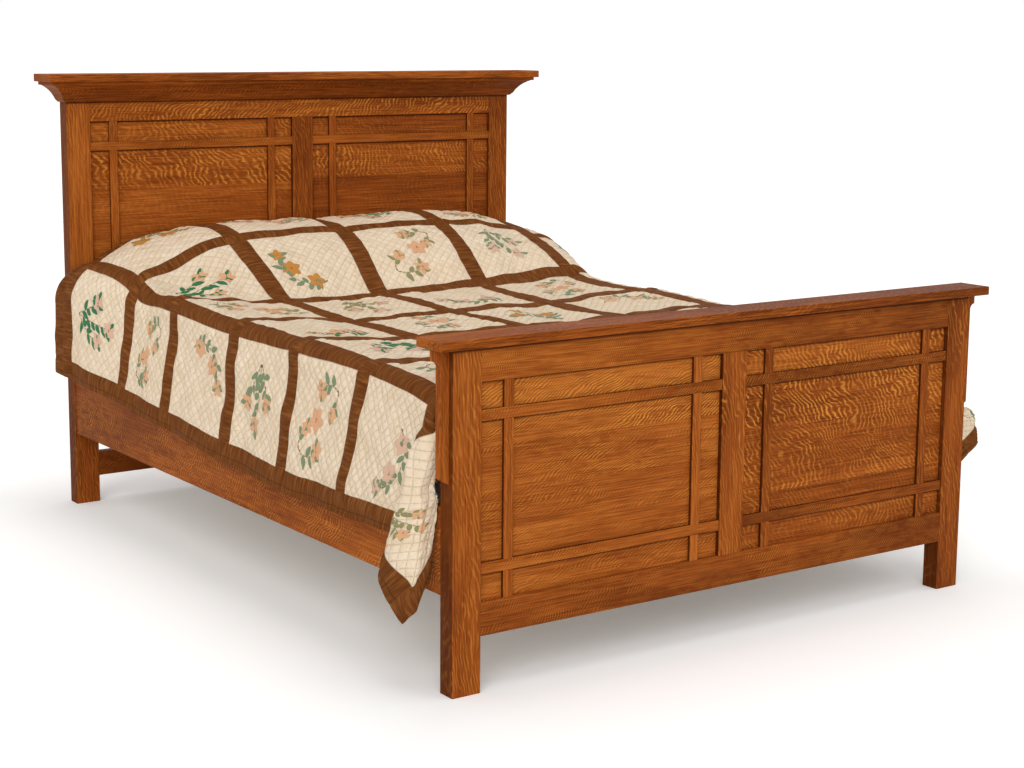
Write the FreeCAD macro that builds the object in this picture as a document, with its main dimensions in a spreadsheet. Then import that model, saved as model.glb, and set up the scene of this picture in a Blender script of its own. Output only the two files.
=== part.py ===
import FreeCAD
import Part
import Sketcher
import collections
import math
import os
import re

# A queen-size oak bed: a tall headboard and a low footboard of posts, rails, panels and lattice strips,
# two side rails that hook into the posts, slats with centre legs, and the bedding. The head is at +Y.

doc = FreeCAD.newDocument("panel_bed")

# Driving dimensions, in millimetres
SIZES = {
    # posts and edges
    "post_width": 76,
    "post_depth": 51,
    "edge_ease": 1.5,
    "cut_overrun": 5,
    # frame and panel work of both ends
    "face_reveal": 1.5,
    "rail_stock": 32,
    "stile_width": 76,
    "panel_recess": 12,
    "panel_thickness": 12,
    "panel_float": 2,
    "groove_depth": 10,
    "groove_clearance": 0.15,
    "tenon_gap": 0.5,
    "strip_width": 26,
    "strip_thickness": 9.5,
    "strip_inset": 63,
    "strip_ease": 1,
    # headboard
    "head_height": 1330,
    "head_cap_thickness": 23,
    "head_cap_end_reach": 80,
    "head_cap_front_reach": 78,
    "head_top_rail_height": 122,
    "head_bottom_rail_base": 400,
    "head_bottom_rail_height": 100,
    "head_stretcher_base": 82,
    "head_stretcher_height": 75,
    # crown moulding under the headboard cap
    "crown_height": 62,
    "crown_reach": 66,
    "crown_toe_reach": 6,
    "crown_bevel": 9,
    "crown_fillet_height": 10,
    "crown_fillet_step": 6,
    "crown_cove_radius": 85,
    # footboard
    "foot_height": 810,
    "foot_cap_thickness": 22,
    "foot_cap_end_reach": 48,
    "foot_cap_face_reach": 24,
    "foot_top_rail_height": 79,
    "foot_bottom_rail_base": 131,
    "foot_bottom_rail_height": 79,
    # corbels on the footboard posts
    "corbel_height": 303,
    "corbel_thickness": 19,
    "corbel_shaft_reach": 23,
    "corbel_lip_reach": 38,
    "corbel_lip_height": 27,
    "corbel_taper_height": 14,
    # side rails, ledgers and slats
    "side_rail_base": 224,
    "side_rail_height": 203,
    "side_rail_thickness": 25,
    "side_rail_inset": 4,
    "ledger_width": 25,
    "ledger_height": 38,
    "ledger_end_gap": 60,
    "slat_width": 89,
    "slat_thickness": 19,
    "slat_end_gap": 3,
    "slat_end_margin": 200,
    # rail hooks and the slotted plates that take them
    "hook_plate_width": 19,
    "hook_plate_height": 140,
    "hook_plate_thickness": 3,
    "hook_spacing": 76,
    "hook_thickness": 4,
    "hook_neck_height": 18,
    "hook_reach": 11,
    "hook_lip_thickness": 7,
    "hook_lip_drop": 11,
    "hardware_clearance": 0.2,
    # screws
    "screw_head_radius": 4.5,
    "screw_head_height": 3,
    "screw_shank_radius": 2,
    "screw_length": 38,
    "screw_clearance": 0.2,
    "ledger_screw_rise": 11,
    "ledger_screw_margin": 90,
    # centre legs and their levelling feet
    "leg_width": 45,
    "leg_base_z": 22,
    "glide_disc_radius": 16,
    "glide_disc_height": 8,
    "glide_disc_bevel": 2.5,
    "glide_stem_radius": 4,
    "glide_stem_length": 40,
    "glide_bore_depth": 46,
    "glide_bore_clearance": 0.08,
    # foundation, mattress and pillows
    "bedding_clearance": 0.4,
    "mattress_width": 1524,
    "mattress_length": 2032,
    "mattress_height": 190,
    "mattress_head_gap": 5,
    "mattress_foot_gap": 35,
    "mattress_side_gap": 22,
    "mattress_corner": 70,
    "mattress_draw": 24,
    "mattress_dish": 8,
    "mattress_roll_width": 190,
    "foundation_height": 190,
    "foundation_corner": 45,
    "foundation_draw": 8,
    "pillow_length": 655,
    "pillow_width": 470,
    "pillow_height": 176,
    "pillow_gap": 24,
    "pillow_corner": 60,
    "pillow_bow": 14,
    # quilt
    "quilt_thickness": 7,
    "quilt_shoulder_reach": 38,
    "quilt_shoulder_radius": 50,
    "quilt_opening": 62,
    "quilt_foot_round": 14,
    "quilt_foot_drop": 215,
    "quilt_drop": 339,
    "quilt_flare": 40,
    "quilt_crest": 40,
    "quilt_ridge": 16,
    "quilt_rise_slack": 20,
    "quilt_ear_width": 190,
    "quilt_ear_drop": 545,
}

# Counts
SLAT_COUNT = 5
LEG_SLATS = {"front": 1, "rear": 3}
LEDGER_SCREW_COUNT = 8

# Places worked out from the sizes, in the order in which they build on each other
PLACES = {
    "bed_inner_length": "mattress_length + mattress_head_gap + mattress_foot_gap",
    "overall_length": "foot_cap_face_reach + bed_inner_length + 2 * post_depth",
    "back_y": "overall_length / 2",
    "head_front_y": "back_y - post_depth",
    "foot_back_y": "head_front_y - bed_inner_length",
    "foot_front_y": "foot_back_y - post_depth",
    "side_rail_inner_x": "mattress_width / 2 + mattress_side_gap",
    "side_rail_outer_x": "side_rail_inner_x + side_rail_thickness",
    "side_rail_mid_x": "side_rail_inner_x + side_rail_thickness / 2",
    "post_outer_x": "side_rail_outer_x + side_rail_inset",
    "post_inner_x": "post_outer_x - post_width",
    "stile_side_x": "stile_width / 2",
    "tenon_length": "groove_depth - tenon_gap",
    "head_cap_under_z": "head_height - head_cap_thickness",
    "head_rail_front_y": "head_front_y + face_reveal",
    "head_panel_front_y": "head_rail_front_y + panel_recess",
    "head_panel_top_z": "head_cap_under_z - head_top_rail_height",
    "head_panel_base_z": "head_bottom_rail_base + head_bottom_rail_height",
    "foot_cap_under_z": "foot_height - foot_cap_thickness",
    "foot_rail_front_y": "foot_front_y + face_reveal",
    "foot_panel_front_y": "foot_rail_front_y + panel_recess",
    "foot_panel_top_z": "foot_cap_under_z - foot_top_rail_height",
    "foot_panel_base_z": "foot_bottom_rail_base + foot_bottom_rail_height",
    "crown_base_z": "head_cap_under_z - crown_height",
    "crown_bevel_reach": "crown_toe_reach + crown_bevel",
    "crown_cove_reach": "crown_reach - crown_fillet_step",
    "crown_cove_top": "crown_height - crown_fillet_height",
    "crown_end_x": "post_outer_x + crown_reach",
    "corbel_base_z": "foot_cap_under_z - corbel_height",
    "corbel_lip_base": "corbel_height - corbel_lip_height",
    "corbel_cove_radius": "corbel_lip_reach - corbel_shaft_reach",
    "corbel_cove_base": "corbel_lip_base - corbel_cove_radius",
    "side_rail_mid_z": "side_rail_base + side_rail_height / 2",
    "ledger_inner_x": "side_rail_inner_x - ledger_width",
    "ledger_mid_x": "side_rail_inner_x - ledger_width / 2",
    "ledger_top_z": "side_rail_base + ledger_height",
    "ledger_screw_z": "side_rail_base + ledger_screw_rise",
    "slat_top_z": "ledger_top_z + slat_thickness",
    "slat_end_x": "side_rail_inner_x - slat_end_gap",
    "slat_first_y": "foot_back_y + slat_end_margin",
    "slat_pitch": f"(bed_inner_length - 2 * slat_end_margin) / {SLAT_COUNT - 1}",
    "glide_shoulder_radius": "glide_disc_radius - glide_disc_bevel",
    "glide_bevel_z": "glide_disc_height - glide_disc_bevel",
    "glide_top_z": "glide_disc_height + glide_stem_length",
    "glide_bore_radius": "glide_stem_radius + glide_bore_clearance",
    "mattress_head_y": "head_front_y - mattress_head_gap",
    "mattress_foot_y": "mattress_head_y - mattress_length",
    "mattress_mid_y": "mattress_head_y - mattress_length / 2",
    "foundation_base_z": "slat_top_z + bedding_clearance",
    "mattress_base_z": "foundation_base_z + foundation_height + bedding_clearance",
    "mattress_top_z": "mattress_base_z + mattress_height",
    "pillow_base_z": "mattress_top_z + bedding_clearance",
    "quilt_edge_z": "mattress_top_z + bedding_clearance + quilt_thickness",
    "quilt_foot_y": "mattress_foot_y - bedding_clearance",
    "quilt_shoulder_x": "mattress_width / 2 + quilt_shoulder_reach",
    "quilt_rise": "pillow_height + quilt_rise_slack",
    "pillow_front": "mattress_length - pillow_width",
}

WORD = re.compile(r"[a-z_]+")
SIDES = ("left", "right")
ENDS = ("head", "foot")
parts = []


def bound(text, own_sheet=False):
    """The expression with every size and place named together with its sheet."""
    def full_name(match):
        word = match.group()
        if word in SIZES:
            return "Sizes." + word
        if word in PLACES and not own_sheet:
            return "Places." + word
        return word
    return WORD.sub(full_name, text)


def make_sheet(name, cells):
    """A sheet with one named cell on each row."""
    sheet = doc.addObject("Spreadsheet::Sheet", name)
    for row, (alias, text) in enumerate(cells.items(), 1):
        sheet.set(f"A{row}", alias)
        sheet.set(f"B{row}", text)
        sheet.setAlias(f"B{row}", alias)
    return sheet


sizes_sheet = make_sheet("Sizes", {alias: str(size) for alias, size in SIZES.items()})
places_sheet = make_sheet("Places", {alias: "=" + bound(text, True) for alias, text in PLACES.items()})
doc.recompute()


def value(name):
    """The number in a named cell, with a leading minus sign obeyed."""
    if name.startswith("-"):
        return -value(name[1:])
    sheet = sizes_sheet if name in SIZES else places_sheet
    return float(sheet.get(name))


def keep(part):
    """Adds a finished piece to those that are written out."""
    parts.append(part)
    return part


# Boards and joints


def board(name, x, y, z):
    """A square-edged board between the low and high limits given for x, y and z."""
    box = doc.addObject("Part::Box", name)
    for axis, side, (low, high) in zip("xyz", ("Length", "Width", "Height"), (x, y, z)):
        box.setExpression("Placement.Base." + axis, bound(low))
        box.setExpression(side, bound(f"({high}) - ({low})"))
    return box


def span(side, near, far):
    """Limits in x of what lies between two distances from the middle, on one side."""
    if side == "right":
        return (near, far)
    return (f"-({far})", f"-({near})")


def beyond(end, near, far):
    """Limits in y of what lies between two distances past the end of a side rail."""
    if end == "head":
        return (f"head_front_y + {near}", f"head_front_y + {far}")
    return (f"foot_back_y - ({far})", f"foot_back_y - ({near})")


def eased(name, base, axes, ease="edge_ease"):
    """The board with its edges along the given axes chamfered."""
    doc.recompute()
    chosen = []
    for number, edge in enumerate(base.Shape.Edges, 1):
        run = edge.Vertexes[1].Point - edge.Vertexes[0].Point
        longest = max(abs(run.x), abs(run.y), abs(run.z))
        direction = "xyz"[(abs(run.x), abs(run.y), abs(run.z)).index(longest)]
        if direction in axes:
            chosen.append((number, value(ease), value(ease)))
    chamfer = doc.addObject("Part::Chamfer", name)
    chamfer.Base = base
    chamfer.Edges = chosen
    return chamfer


def joined(name, *pieces):
    """Several shapes made one."""
    fuse = doc.addObject("Part::MultiFuse", name)
    fuse.Shapes = list(pieces)
    return fuse


def cut(name, base, *cutters):
    """The base with the cutters taken out of it."""
    result = doc.addObject("Part::Cut", name)
    result.Base = base
    result.Tool = cutters[0] if len(cutters) == 1 else joined(name + "_cutters", *cutters)
    return result


def plane_of(body, role):
    """One of the body's own origin planes."""
    return next(feature for feature in body.Origin.OriginFeatures if feature.Role == role)


def outline(body, name, role, corners):
    """A closed sketch through corners given as named sizes.

    A corner that also names a radius is followed by a hollow arc of that radius.
    """
    sketch = body.newObject("Sketcher::SketchObject", name)
    sketch.AttachmentSupport = [(plane_of(body, role), "")]
    sketch.MapMode = "FlatFace"
    points = []
    for corner in corners:
        across, along = (0 if text == "0" else value(text) for text in corner[:2])
        points.append(FreeCAD.Vector(across, along, 0))
    bends = {first: corner[2] for first, corner in enumerate(corners) if len(corner) > 2}
    count = len(points)
    for first in range(count):
        start = points[first]
        end = points[(first + 1) % count]
        if first in bends:
            radius = value(bends[first])
            chord = end - start
            half = chord.Length / 2
            depth = radius - math.sqrt(radius ** 2 - half ** 2)
            normal = FreeCAD.Vector(-chord.y, chord.x, 0).normalize()
            middle = (start + end) * 0.5 + normal * depth
            sketch.addGeometry(Part.Arc(start, middle, end))
        else:
            sketch.addGeometry(Part.LineSegment(start, end))
    ends = [(1, 2)] * count
    for first in bends:
        ends[first] = (2, 1)
    for first in range(count):
        after = (first + 1) % count
        sketch.addConstraint(Sketcher.Constraint("Coincident", first, ends[first][1], after, ends[after][0]))
    for first, corner in enumerate(corners):
        spot = (first, ends[first][0])
        for text, kind, axis in zip(corner[:2], ("DistanceX", "DistanceY"), (-2, -1)):
            if text == "0":
                sketch.addConstraint(Sketcher.Constraint("PointOnObject", *spot, axis))
                continue
            place = sketch.addConstraint(Sketcher.Constraint(kind, -1, 1, *spot, value(text)))
            sketch.setExpression(f"Constraints[{place}]", bound(text))
    for first, radius in bends.items():
        place = sketch.addConstraint(Sketcher.Constraint("Radius", first, value(radius)))
        sketch.setExpression(f"Constraints[{place}]", bound(radius))
    return sketch


def set_place(part, x, y, z, turn=0):
    """Places a piece by expressions, turned about the vertical."""
    part.Placement.Rotation = FreeCAD.Rotation(FreeCAD.Vector(0, 0, 1), turn)
    for axis, text in zip("xyz", (x, y, z)):
        part.setExpression("Placement.Base." + axis, bound(text))


# Headboard and footboard frames


def end_post(end, side, cutters):
    """A post, grooved on its inner face for the rails and panel and cut for the rail's slotted plate."""
    name = f"{end}board_post_{side}"
    depth = (f"{end}_front_y", f"{end}_front_y + post_depth")
    blank = board(name + "_blank", span(side, "post_inner_x", "post_outer_x"), depth,
                  ("0", f"{end}_cap_under_z"))
    return keep(cut(name, eased(name + "_eased", blank, "z"), *cutters))


def post_groove(name, end, side, low, high):
    """The cutter for a groove in the inner face of a post."""
    groove_y = (f"{end}_panel_front_y - groove_clearance",
                f"{end}_panel_front_y + panel_thickness + groove_clearance")
    return board(name, span(side, "post_inner_x - cut_overrun", "post_inner_x + groove_depth"), groove_y,
                 (f"{low} - groove_clearance", high))


def end_rail(name, end, low, high, cutters=()):
    """A rail between the posts, with a full-height stub tenon at each end."""
    face = board(name + "_face", ("-post_inner_x", "post_inner_x"),
                 (f"{end}_rail_front_y", f"{end}_rail_front_y + rail_stock"), (low, high))
    core = board(name + "_core", ("-(post_inner_x + tenon_length)", "post_inner_x + tenon_length"),
                 (f"{end}_panel_front_y", f"{end}_panel_front_y + panel_thickness"), (low, high))
    soft = eased(name + "_eased", face, "x")
    if not cutters:
        return keep(joined(name, soft, core))
    return keep(cut(name, joined(name + "_tenoned", soft, core), *cutters))


def rail_groove(name, end, low, high):
    """The cutter for the panel groove along a rail, through both tenons."""
    return board(name, ("-(post_inner_x + groove_depth)", "post_inner_x + groove_depth"),
                 (f"{end}_panel_front_y - groove_clearance",
                  f"{end}_panel_front_y + panel_thickness + groove_clearance"), (low, high))


def centre_stile(end):
    """The upright between the two panels, tenoned into both rails and grooved on both sides."""
    name = f"{end}board_centre_stile"
    low, high = f"{end}_panel_base_z", f"{end}_panel_top_z"
    face = board(name + "_face", ("-stile_side_x", "stile_side_x"),
                 (f"{end}_rail_front_y", f"{end}_rail_front_y + rail_stock"), (low, high))
    core = board(name + "_core", ("-stile_side_x", "stile_side_x"),
                 (f"{end}_panel_front_y", f"{end}_panel_front_y + panel_thickness"),
                 (f"{low} - tenon_length", f"{high} + tenon_length"))
    grooves = [board(f"{name}_groove_{side}",
                     span(side, "stile_side_x - groove_depth", "stile_side_x + cut_overrun"),
                     (f"{end}_panel_front_y - groove_clearance",
                      f"{end}_panel_front_y + panel_thickness + groove_clearance"),
                     (f"{low} - groove_depth - cut_overrun", f"{high} + groove_depth + cut_overrun"))
               for side in SIDES]
    return keep(cut(name, joined(name + "_tenoned", eased(name + "_eased", face, "z"), core), *grooves))


def end_panel(end, side):
    """A panel that floats in the grooves and stands on the bottom rail's groove."""
    return keep(board(f"{end}board_panel_{side}",
                      span(side, "stile_side_x - groove_depth + panel_float",
                           "post_inner_x + groove_depth - panel_float"),
                      (f"{end}_panel_front_y", f"{end}_panel_front_y + panel_thickness"),
                      (f"{end}_panel_base_z - groove_depth",
                       f"{end}_panel_top_z + groove_depth - panel_float")))


UPRIGHTS = {
    "inner": ("stile_side_x + strip_inset", "stile_side_x + strip_inset + strip_width"),
    "outer": ("post_inner_x - strip_inset - strip_width", "post_inner_x - strip_inset"),
}
LEVELS = {
    "upper": ("{end}_panel_top_z - strip_inset - strip_width", "{end}_panel_top_z - strip_inset"),
    "lower": ("{end}_panel_base_z + strip_inset", "{end}_panel_base_z + strip_inset + strip_width"),
}


def lattice(end, side, level_names):
    """Upright and level strips on a panel, halved into each other so that their faces are flush."""
    front = f"{end}_panel_front_y - strip_thickness"
    half = f"{end}_panel_front_y - strip_thickness / 2"
    back = f"{end}_panel_front_y"
    name = f"{end}board_strip_{side}"
    levels = {level: tuple(text.format(end=end) for text in LEVELS[level]) for level in level_names}
    for place, (near, far) in UPRIGHTS.items():
        strip = f"{name}_{place}"
        blank = board(strip + "_blank", span(side, near, far), (front, back),
                      (f"{end}_panel_base_z", f"{end}_panel_top_z"))
        across = span(side, f"{near} - cut_overrun", f"{far} + cut_overrun")
        notches = [board(f"{strip}_{level}_notch", across, (f"{front} - cut_overrun", half), limits)
                   for level, limits in levels.items()]
        keep(cut(strip, eased(strip + "_eased", blank, "z", "strip_ease"), *notches))
    for level, (low, high) in levels.items():
        strip = f"{name}_{level}"
        blank = board(strip + "_blank", span(side, "stile_side_x", "post_inner_x"), (front, back),
                      (low, high))
        notches = [board(f"{strip}_{place}_notch", span(side, near, far), (half, f"{back} + cut_overrun"),
                         (f"{low} - cut_overrun", f"{high} + cut_overrun"))
                   for place, (near, far) in UPRIGHTS.items()]
        keep(cut(strip, eased(strip + "_eased", blank, "x", "strip_ease"), *notches))


def end_frame(end, level_names):
    """Posts, rails, stile, panels and lattice of the head or the foot."""
    name = end + "board"
    base = f"{end}_bottom_rail_base"
    for side in SIDES:
        cutters = [post_groove(f"{name}_post_{side}_groove", end, side, base,
                               f"{end}_cap_under_z + cut_overrun")]
        if end == "head":
            cutters.append(post_groove(f"{name}_post_{side}_mortise", end, side, "head_stretcher_base",
                                       "head_stretcher_base + head_stretcher_height + groove_clearance"))
        cutters.extend(slotted_plate_cutters(end, side))
        end_post(end, side, cutters)
    end_rail(name + "_top_rail", end, f"{end}_panel_top_z", f"{end}_cap_under_z",
             [rail_groove(name + "_top_rail_groove", end, f"{end}_panel_top_z - cut_overrun",
                          f"{end}_panel_top_z + groove_depth")])
    end_rail(name + "_bottom_rail", end, base, f"{end}_panel_base_z",
             [rail_groove(name + "_bottom_rail_groove", end, f"{end}_panel_base_z - groove_depth",
                          f"{end}_panel_base_z + cut_overrun")])
    centre_stile(end)
    for side in SIDES:
        end_panel(end, side)
        lattice(end, side, level_names)


def headboard_top():
    """The stretcher between the headboard's legs, its cap, and the crown moulding under the cap."""
    end_rail("headboard_stretcher", "head", "head_stretcher_base",
             "head_stretcher_base + head_stretcher_height")
    cap = board("headboard_cap_blank",
                ("-(post_outer_x + head_cap_end_reach)", "post_outer_x + head_cap_end_reach"),
                ("head_front_y - head_cap_front_reach", "back_y"), ("head_cap_under_z", "head_height"))
    keep(eased("headboard_cap", cap, "xyz"))
    crown_front()
    for side in SIDES:
        crown_return(side)


CROWN_CORNERS = (("0", "0"), ("crown_toe_reach", "0"),
                 ("crown_bevel_reach", "crown_bevel", "crown_cove_radius"),
                 ("crown_cove_reach", "crown_cove_top"), ("crown_reach", "crown_cove_top"),
                 ("crown_reach", "crown_height"), ("0", "crown_height"))


def mitre(body, name, corners):
    """Cuts a triangle seen from above out of a moulding, through its whole height."""
    pocket = body.newObject("PartDesign::Pocket", name)
    pocket.Profile = outline(body, name + "_outline", "XY_Plane", corners)
    pocket.setExpression("Length", bound("crown_height"))
    pocket.Reversed = True
    return pocket


def crown_front():
    """The front length of the crown, mitred at both ends; its profile stands out along the body's +Y."""
    body = doc.addObject("PartDesign::Body", "headboard_crown_front")
    pad = body.newObject("PartDesign::Pad", "crown_front_length")
    pad.Profile = outline(body, "crown_front_profile", "YZ_Plane", CROWN_CORNERS)
    pad.SideType = "Symmetric"
    pad.setExpression("Length", bound("2 * crown_end_x"))
    doc.recompute()
    whole = body.Shape.Volume
    mitre(body, "crown_front_right_mitre", (("post_outer_x", "0"), ("crown_end_x", "0"),
                                            ("crown_end_x", "crown_reach")))
    mitre(body, "crown_front_left_mitre", (("-post_outer_x", "0"), ("-crown_end_x", "crown_reach"),
                                           ("-crown_end_x", "0")))
    set_place(body, "0", "head_front_y", "crown_base_z", 180)
    doc.recompute()
    if not body.Shape.Volume < whole:
        raise RuntimeError("the crown's mitres cut nothing")
    keep(body)


def crown_return(side):
    """A side length of the crown, from its mitre to the back of the post."""
    body = doc.addObject("PartDesign::Body", f"headboard_crown_{side}")
    pad = body.newObject("PartDesign::Pad", f"crown_{side}_length")
    pad.Profile = outline(body, f"crown_{side}_profile", "XZ_Plane", CROWN_CORNERS)
    pad.SideType = "Two sides"
    forward, backward = ("Length", "Length2") if side == "right" else ("Length2", "Length")
    pad.setExpression(forward, bound("crown_reach"))
    pad.setExpression(backward, bound("post_depth"))
    front = "-crown_reach" if side == "right" else "crown_reach"
    doc.recompute()
    whole = body.Shape.Volume
    mitre(body, f"crown_{side}_mitre", (("0", "0"), ("crown_reach", front), ("0", front)))
    if side == "right":
        set_place(body, "post_outer_x", "head_front_y", "crown_base_z")
    else:
        set_place(body, "-post_outer_x", "head_front_y", "crown_base_z", 180)
    doc.recompute()
    if not body.Shape.Volume < whole:
        raise RuntimeError("a crown return's mitre cuts nothing")
    keep(body)


def footboard_top():
    """The footboard's cap and the corbels that carry its ends."""
    cap = board("footboard_cap_blank",
                ("-(post_outer_x + foot_cap_end_reach)", "post_outer_x + foot_cap_end_reach"),
                ("foot_front_y - foot_cap_face_reach", "foot_back_y + foot_cap_face_reach"),
                ("foot_cap_under_z", "foot_height"))
    keep(eased("footboard_cap", cap, "xyz"))
    for side, turn in zip(SIDES, (180, 0)):
        body = doc.addObject("PartDesign::Body", f"footboard_corbel_{side}")
        pad = body.newObject("PartDesign::Pad", f"corbel_{side}_board")
        pad.Profile = outline(body, f"corbel_{side}_profile", "XZ_Plane",
                              (("0", "0"), ("corbel_shaft_reach", "corbel_taper_height"),
                               ("corbel_shaft_reach", "corbel_cove_base", "corbel_cove_radius"),
                               ("corbel_lip_reach", "corbel_lip_base"),
                               ("corbel_lip_reach", "corbel_height"), ("0", "corbel_height")))
        pad.SideType = "Symmetric"
        pad.setExpression("Length", bound("corbel_thickness"))
        face = "post_outer_x" if side == "right" else "-post_outer_x"
        set_place(body, face, "foot_front_y + post_depth / 2", "corbel_base_z", turn)
        keep(body)


# Side rails, their hooks, ledgers, slats and legs


def hook_levels():
    """Heights of the two hooks of a plate."""
    return ("side_rail_mid_z - hook_spacing / 2", "side_rail_mid_z + hook_spacing / 2")


def plate_limits(clearance):
    """Half width and half height of a hook plate or slotted plate, with room added."""
    return (f"(hook_plate_width / 2 + {clearance})", f"(hook_plate_height / 2 + {clearance})")


def plate_board(name, end, side, near, far, clearance):
    """A plate, or the recess for one, on the end of a rail or the face of a post."""
    half_x, half_z = plate_limits(clearance)
    return board(name, span(side, f"side_rail_mid_x - {half_x}", f"side_rail_mid_x + {half_x}"),
                 beyond(end, near, far), (f"side_rail_mid_z - {half_z}", f"side_rail_mid_z + {half_z}"))


def hook_slot(name, end, side, near, far, low, high):
    """A slot as wide as a hook with its clearance."""
    half = "(hook_thickness / 2 + hardware_clearance)"
    return board(name, span(side, f"side_rail_mid_x - {half}", f"side_rail_mid_x + {half}"),
                 beyond(end, near, far), (low, high))


def slotted_plate_cutters(end, side):
    """What is cut out of a post for its slotted plate and for the hooks behind the plate."""
    name = f"{end}board_post_{side}"
    cutters = [plate_board(name + "_plate_recess", end, side, "-cut_overrun", "hook_plate_thickness",
                           "hardware_clearance")]
    for number, level in enumerate(hook_levels()):
        reach = "hook_neck_height / 2 + hook_lip_drop + hardware_clearance"
        cutters.append(hook_slot(f"{name}_hook_room_{number}", end, side, "-cut_overrun",
                                 "hook_reach + hardware_clearance", f"{level} - ({reach})",
                                 f"{level} + {reach}"))
    return cutters


def slotted_plate(end, side):
    """The steel plate in a post whose two slots take the rail's hooks."""
    name = f"slotted_plate_{end}_{side}"
    slots = [hook_slot(f"{name}_slot_{number}", end, side, "-cut_overrun",
                       "hook_plate_thickness + cut_overrun",
                       f"{level} - hook_neck_height / 2 - hardware_clearance",
                       f"{level} + hook_neck_height / 2 + hook_lip_drop + hardware_clearance")
             for number, level in enumerate(hook_levels())]
    return cut(name, plate_board(name + "_blank", end, side, "0", "hook_plate_thickness", "0"), *slots)


def hook_plate(end, side):
    """The steel plate in the end of a rail, with two hooks that drop behind the slotted plate."""
    name = f"hook_plate_{end}_{side}"
    thick = span(side, "side_rail_mid_x - hook_thickness / 2", "side_rail_mid_x + hook_thickness / 2")
    pieces = [plate_board(name + "_plate", end, side, "-hook_plate_thickness", "0", "0")]
    for number, level in enumerate(hook_levels()):
        low = f"{level} - hook_neck_height / 2"
        pieces.append(board(f"{name}_neck_{number}", thick,
                            beyond(end, "-hook_plate_thickness", "hook_reach"),
                            (low, f"{level} + hook_neck_height / 2")))
        pieces.append(board(f"{name}_lip_{number}", thick,
                            beyond(end, "(hook_reach - hook_lip_thickness)", "hook_reach"),
                            (f"{low} - hook_lip_drop", f"{level} + hook_neck_height / 2")))
    return joined(name, *pieces)


def group(name, members):
    """Equal pieces of hardware under one name."""
    compound = doc.addObject("Part::Compound", name)
    compound.Links = members
    return keep(compound)


def screw_shape(grow):
    """A countersunk screw along +X with its head's flat face at the origin, or its hole when it grows."""
    axis = FreeCAD.Vector(1, 0, 0)
    origin = FreeCAD.Vector(0, 0, 0)
    head = Part.makeCone(value("screw_head_radius") + grow, value("screw_shank_radius") + grow,
                         value("screw_head_height"), origin, axis)
    shank = Part.makeCylinder(value("screw_shank_radius") + grow, value("screw_length") + grow, origin, axis)
    return head.fuse(shank).removeSplitter()


def ledger_screw_places(side):
    """Where the screws go through a ledger into its rail."""
    first = value("foot_back_y") + value("ledger_end_gap") + value("ledger_screw_margin")
    last = value("head_front_y") - value("ledger_end_gap") - value("ledger_screw_margin")
    sign = 1 if side == "right" else -1
    turn = FreeCAD.Rotation(FreeCAD.Vector(0, 0, 1), 0 if sign > 0 else 180)
    pitch = (last - first) / (LEDGER_SCREW_COUNT - 1)
    return [FreeCAD.Placement(FreeCAD.Vector(sign * value("ledger_inner_x"), first + pitch * number,
                                             value("ledger_screw_z")), turn)
            for number in range(LEDGER_SCREW_COUNT)]


def slat_screw_place(side, number):
    """Where a screw goes down through the end of a slat into the ledger."""
    sign = 1 if side == "right" else -1
    turn = FreeCAD.Rotation(FreeCAD.Vector(0, 1, 0), 90)
    along = value("slat_first_y") + number * value("slat_pitch")
    return FreeCAD.Placement(FreeCAD.Vector(sign * value("ledger_mid_x"), along, value("slat_top_z")), turn)


def screws(name, places, grow):
    """A group of screws, or the cutters for their holes."""
    shape = screw_shape(grow)
    feature = doc.addObject("Part::Feature", name)
    feature.Shape = Part.makeCompound([shape.transformed(place.toMatrix()) for place in places])
    return feature


def side_rail(side):
    """A rail, recessed at both ends for its hook plates and drilled for the ledger's screws."""
    name = f"side_rail_{side}"
    blank = board(name + "_blank", span(side, "side_rail_inner_x", "side_rail_outer_x"),
                  ("foot_back_y", "head_front_y"), ("side_rail_base", "side_rail_base + side_rail_height"))
    recesses = [plate_board(f"{name}_{end}_recess", end, side, "-hook_plate_thickness", "cut_overrun",
                            "hardware_clearance") for end in ENDS]
    holes = screws(name + "_holes", ledger_screw_places(side), value("screw_clearance"))
    keep(cut(name, eased(name + "_eased", blank, "y"), *recesses, holes))


def ledger(side):
    """The strip inside a rail that carries the slats, drilled for both sets of screws."""
    name = f"ledger_{side}"
    blank = board(name + "_blank", span(side, "ledger_inner_x", "side_rail_inner_x"),
                  ("foot_back_y + ledger_end_gap", "head_front_y - ledger_end_gap"),
                  ("side_rail_base", "ledger_top_z"))
    places = ledger_screw_places(side) + [slat_screw_place(side, number) for number in range(SLAT_COUNT)]
    keep(cut(name, blank, screws(name + "_holes", places, value("screw_clearance"))))


def slat_y(number):
    """The middle of a slat, counted from the foot."""
    return f"slat_first_y + {number} * slat_pitch"


def slat(number):
    """A slat that lies on both ledgers, with a screw hole near each end."""
    name = f"slat_{number + 1}"
    blank = board(name + "_blank", ("-slat_end_x", "slat_end_x"),
                  (f"{slat_y(number)} - slat_width / 2", f"{slat_y(number)} + slat_width / 2"),
                  ("ledger_top_z", "slat_top_z"))
    places = [slat_screw_place(side, number) for side in SIDES]
    holes = screws(name + "_holes", places, value("screw_clearance"))
    keep(cut(name, eased(name + "_eased", blank, "x"), holes))


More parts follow.
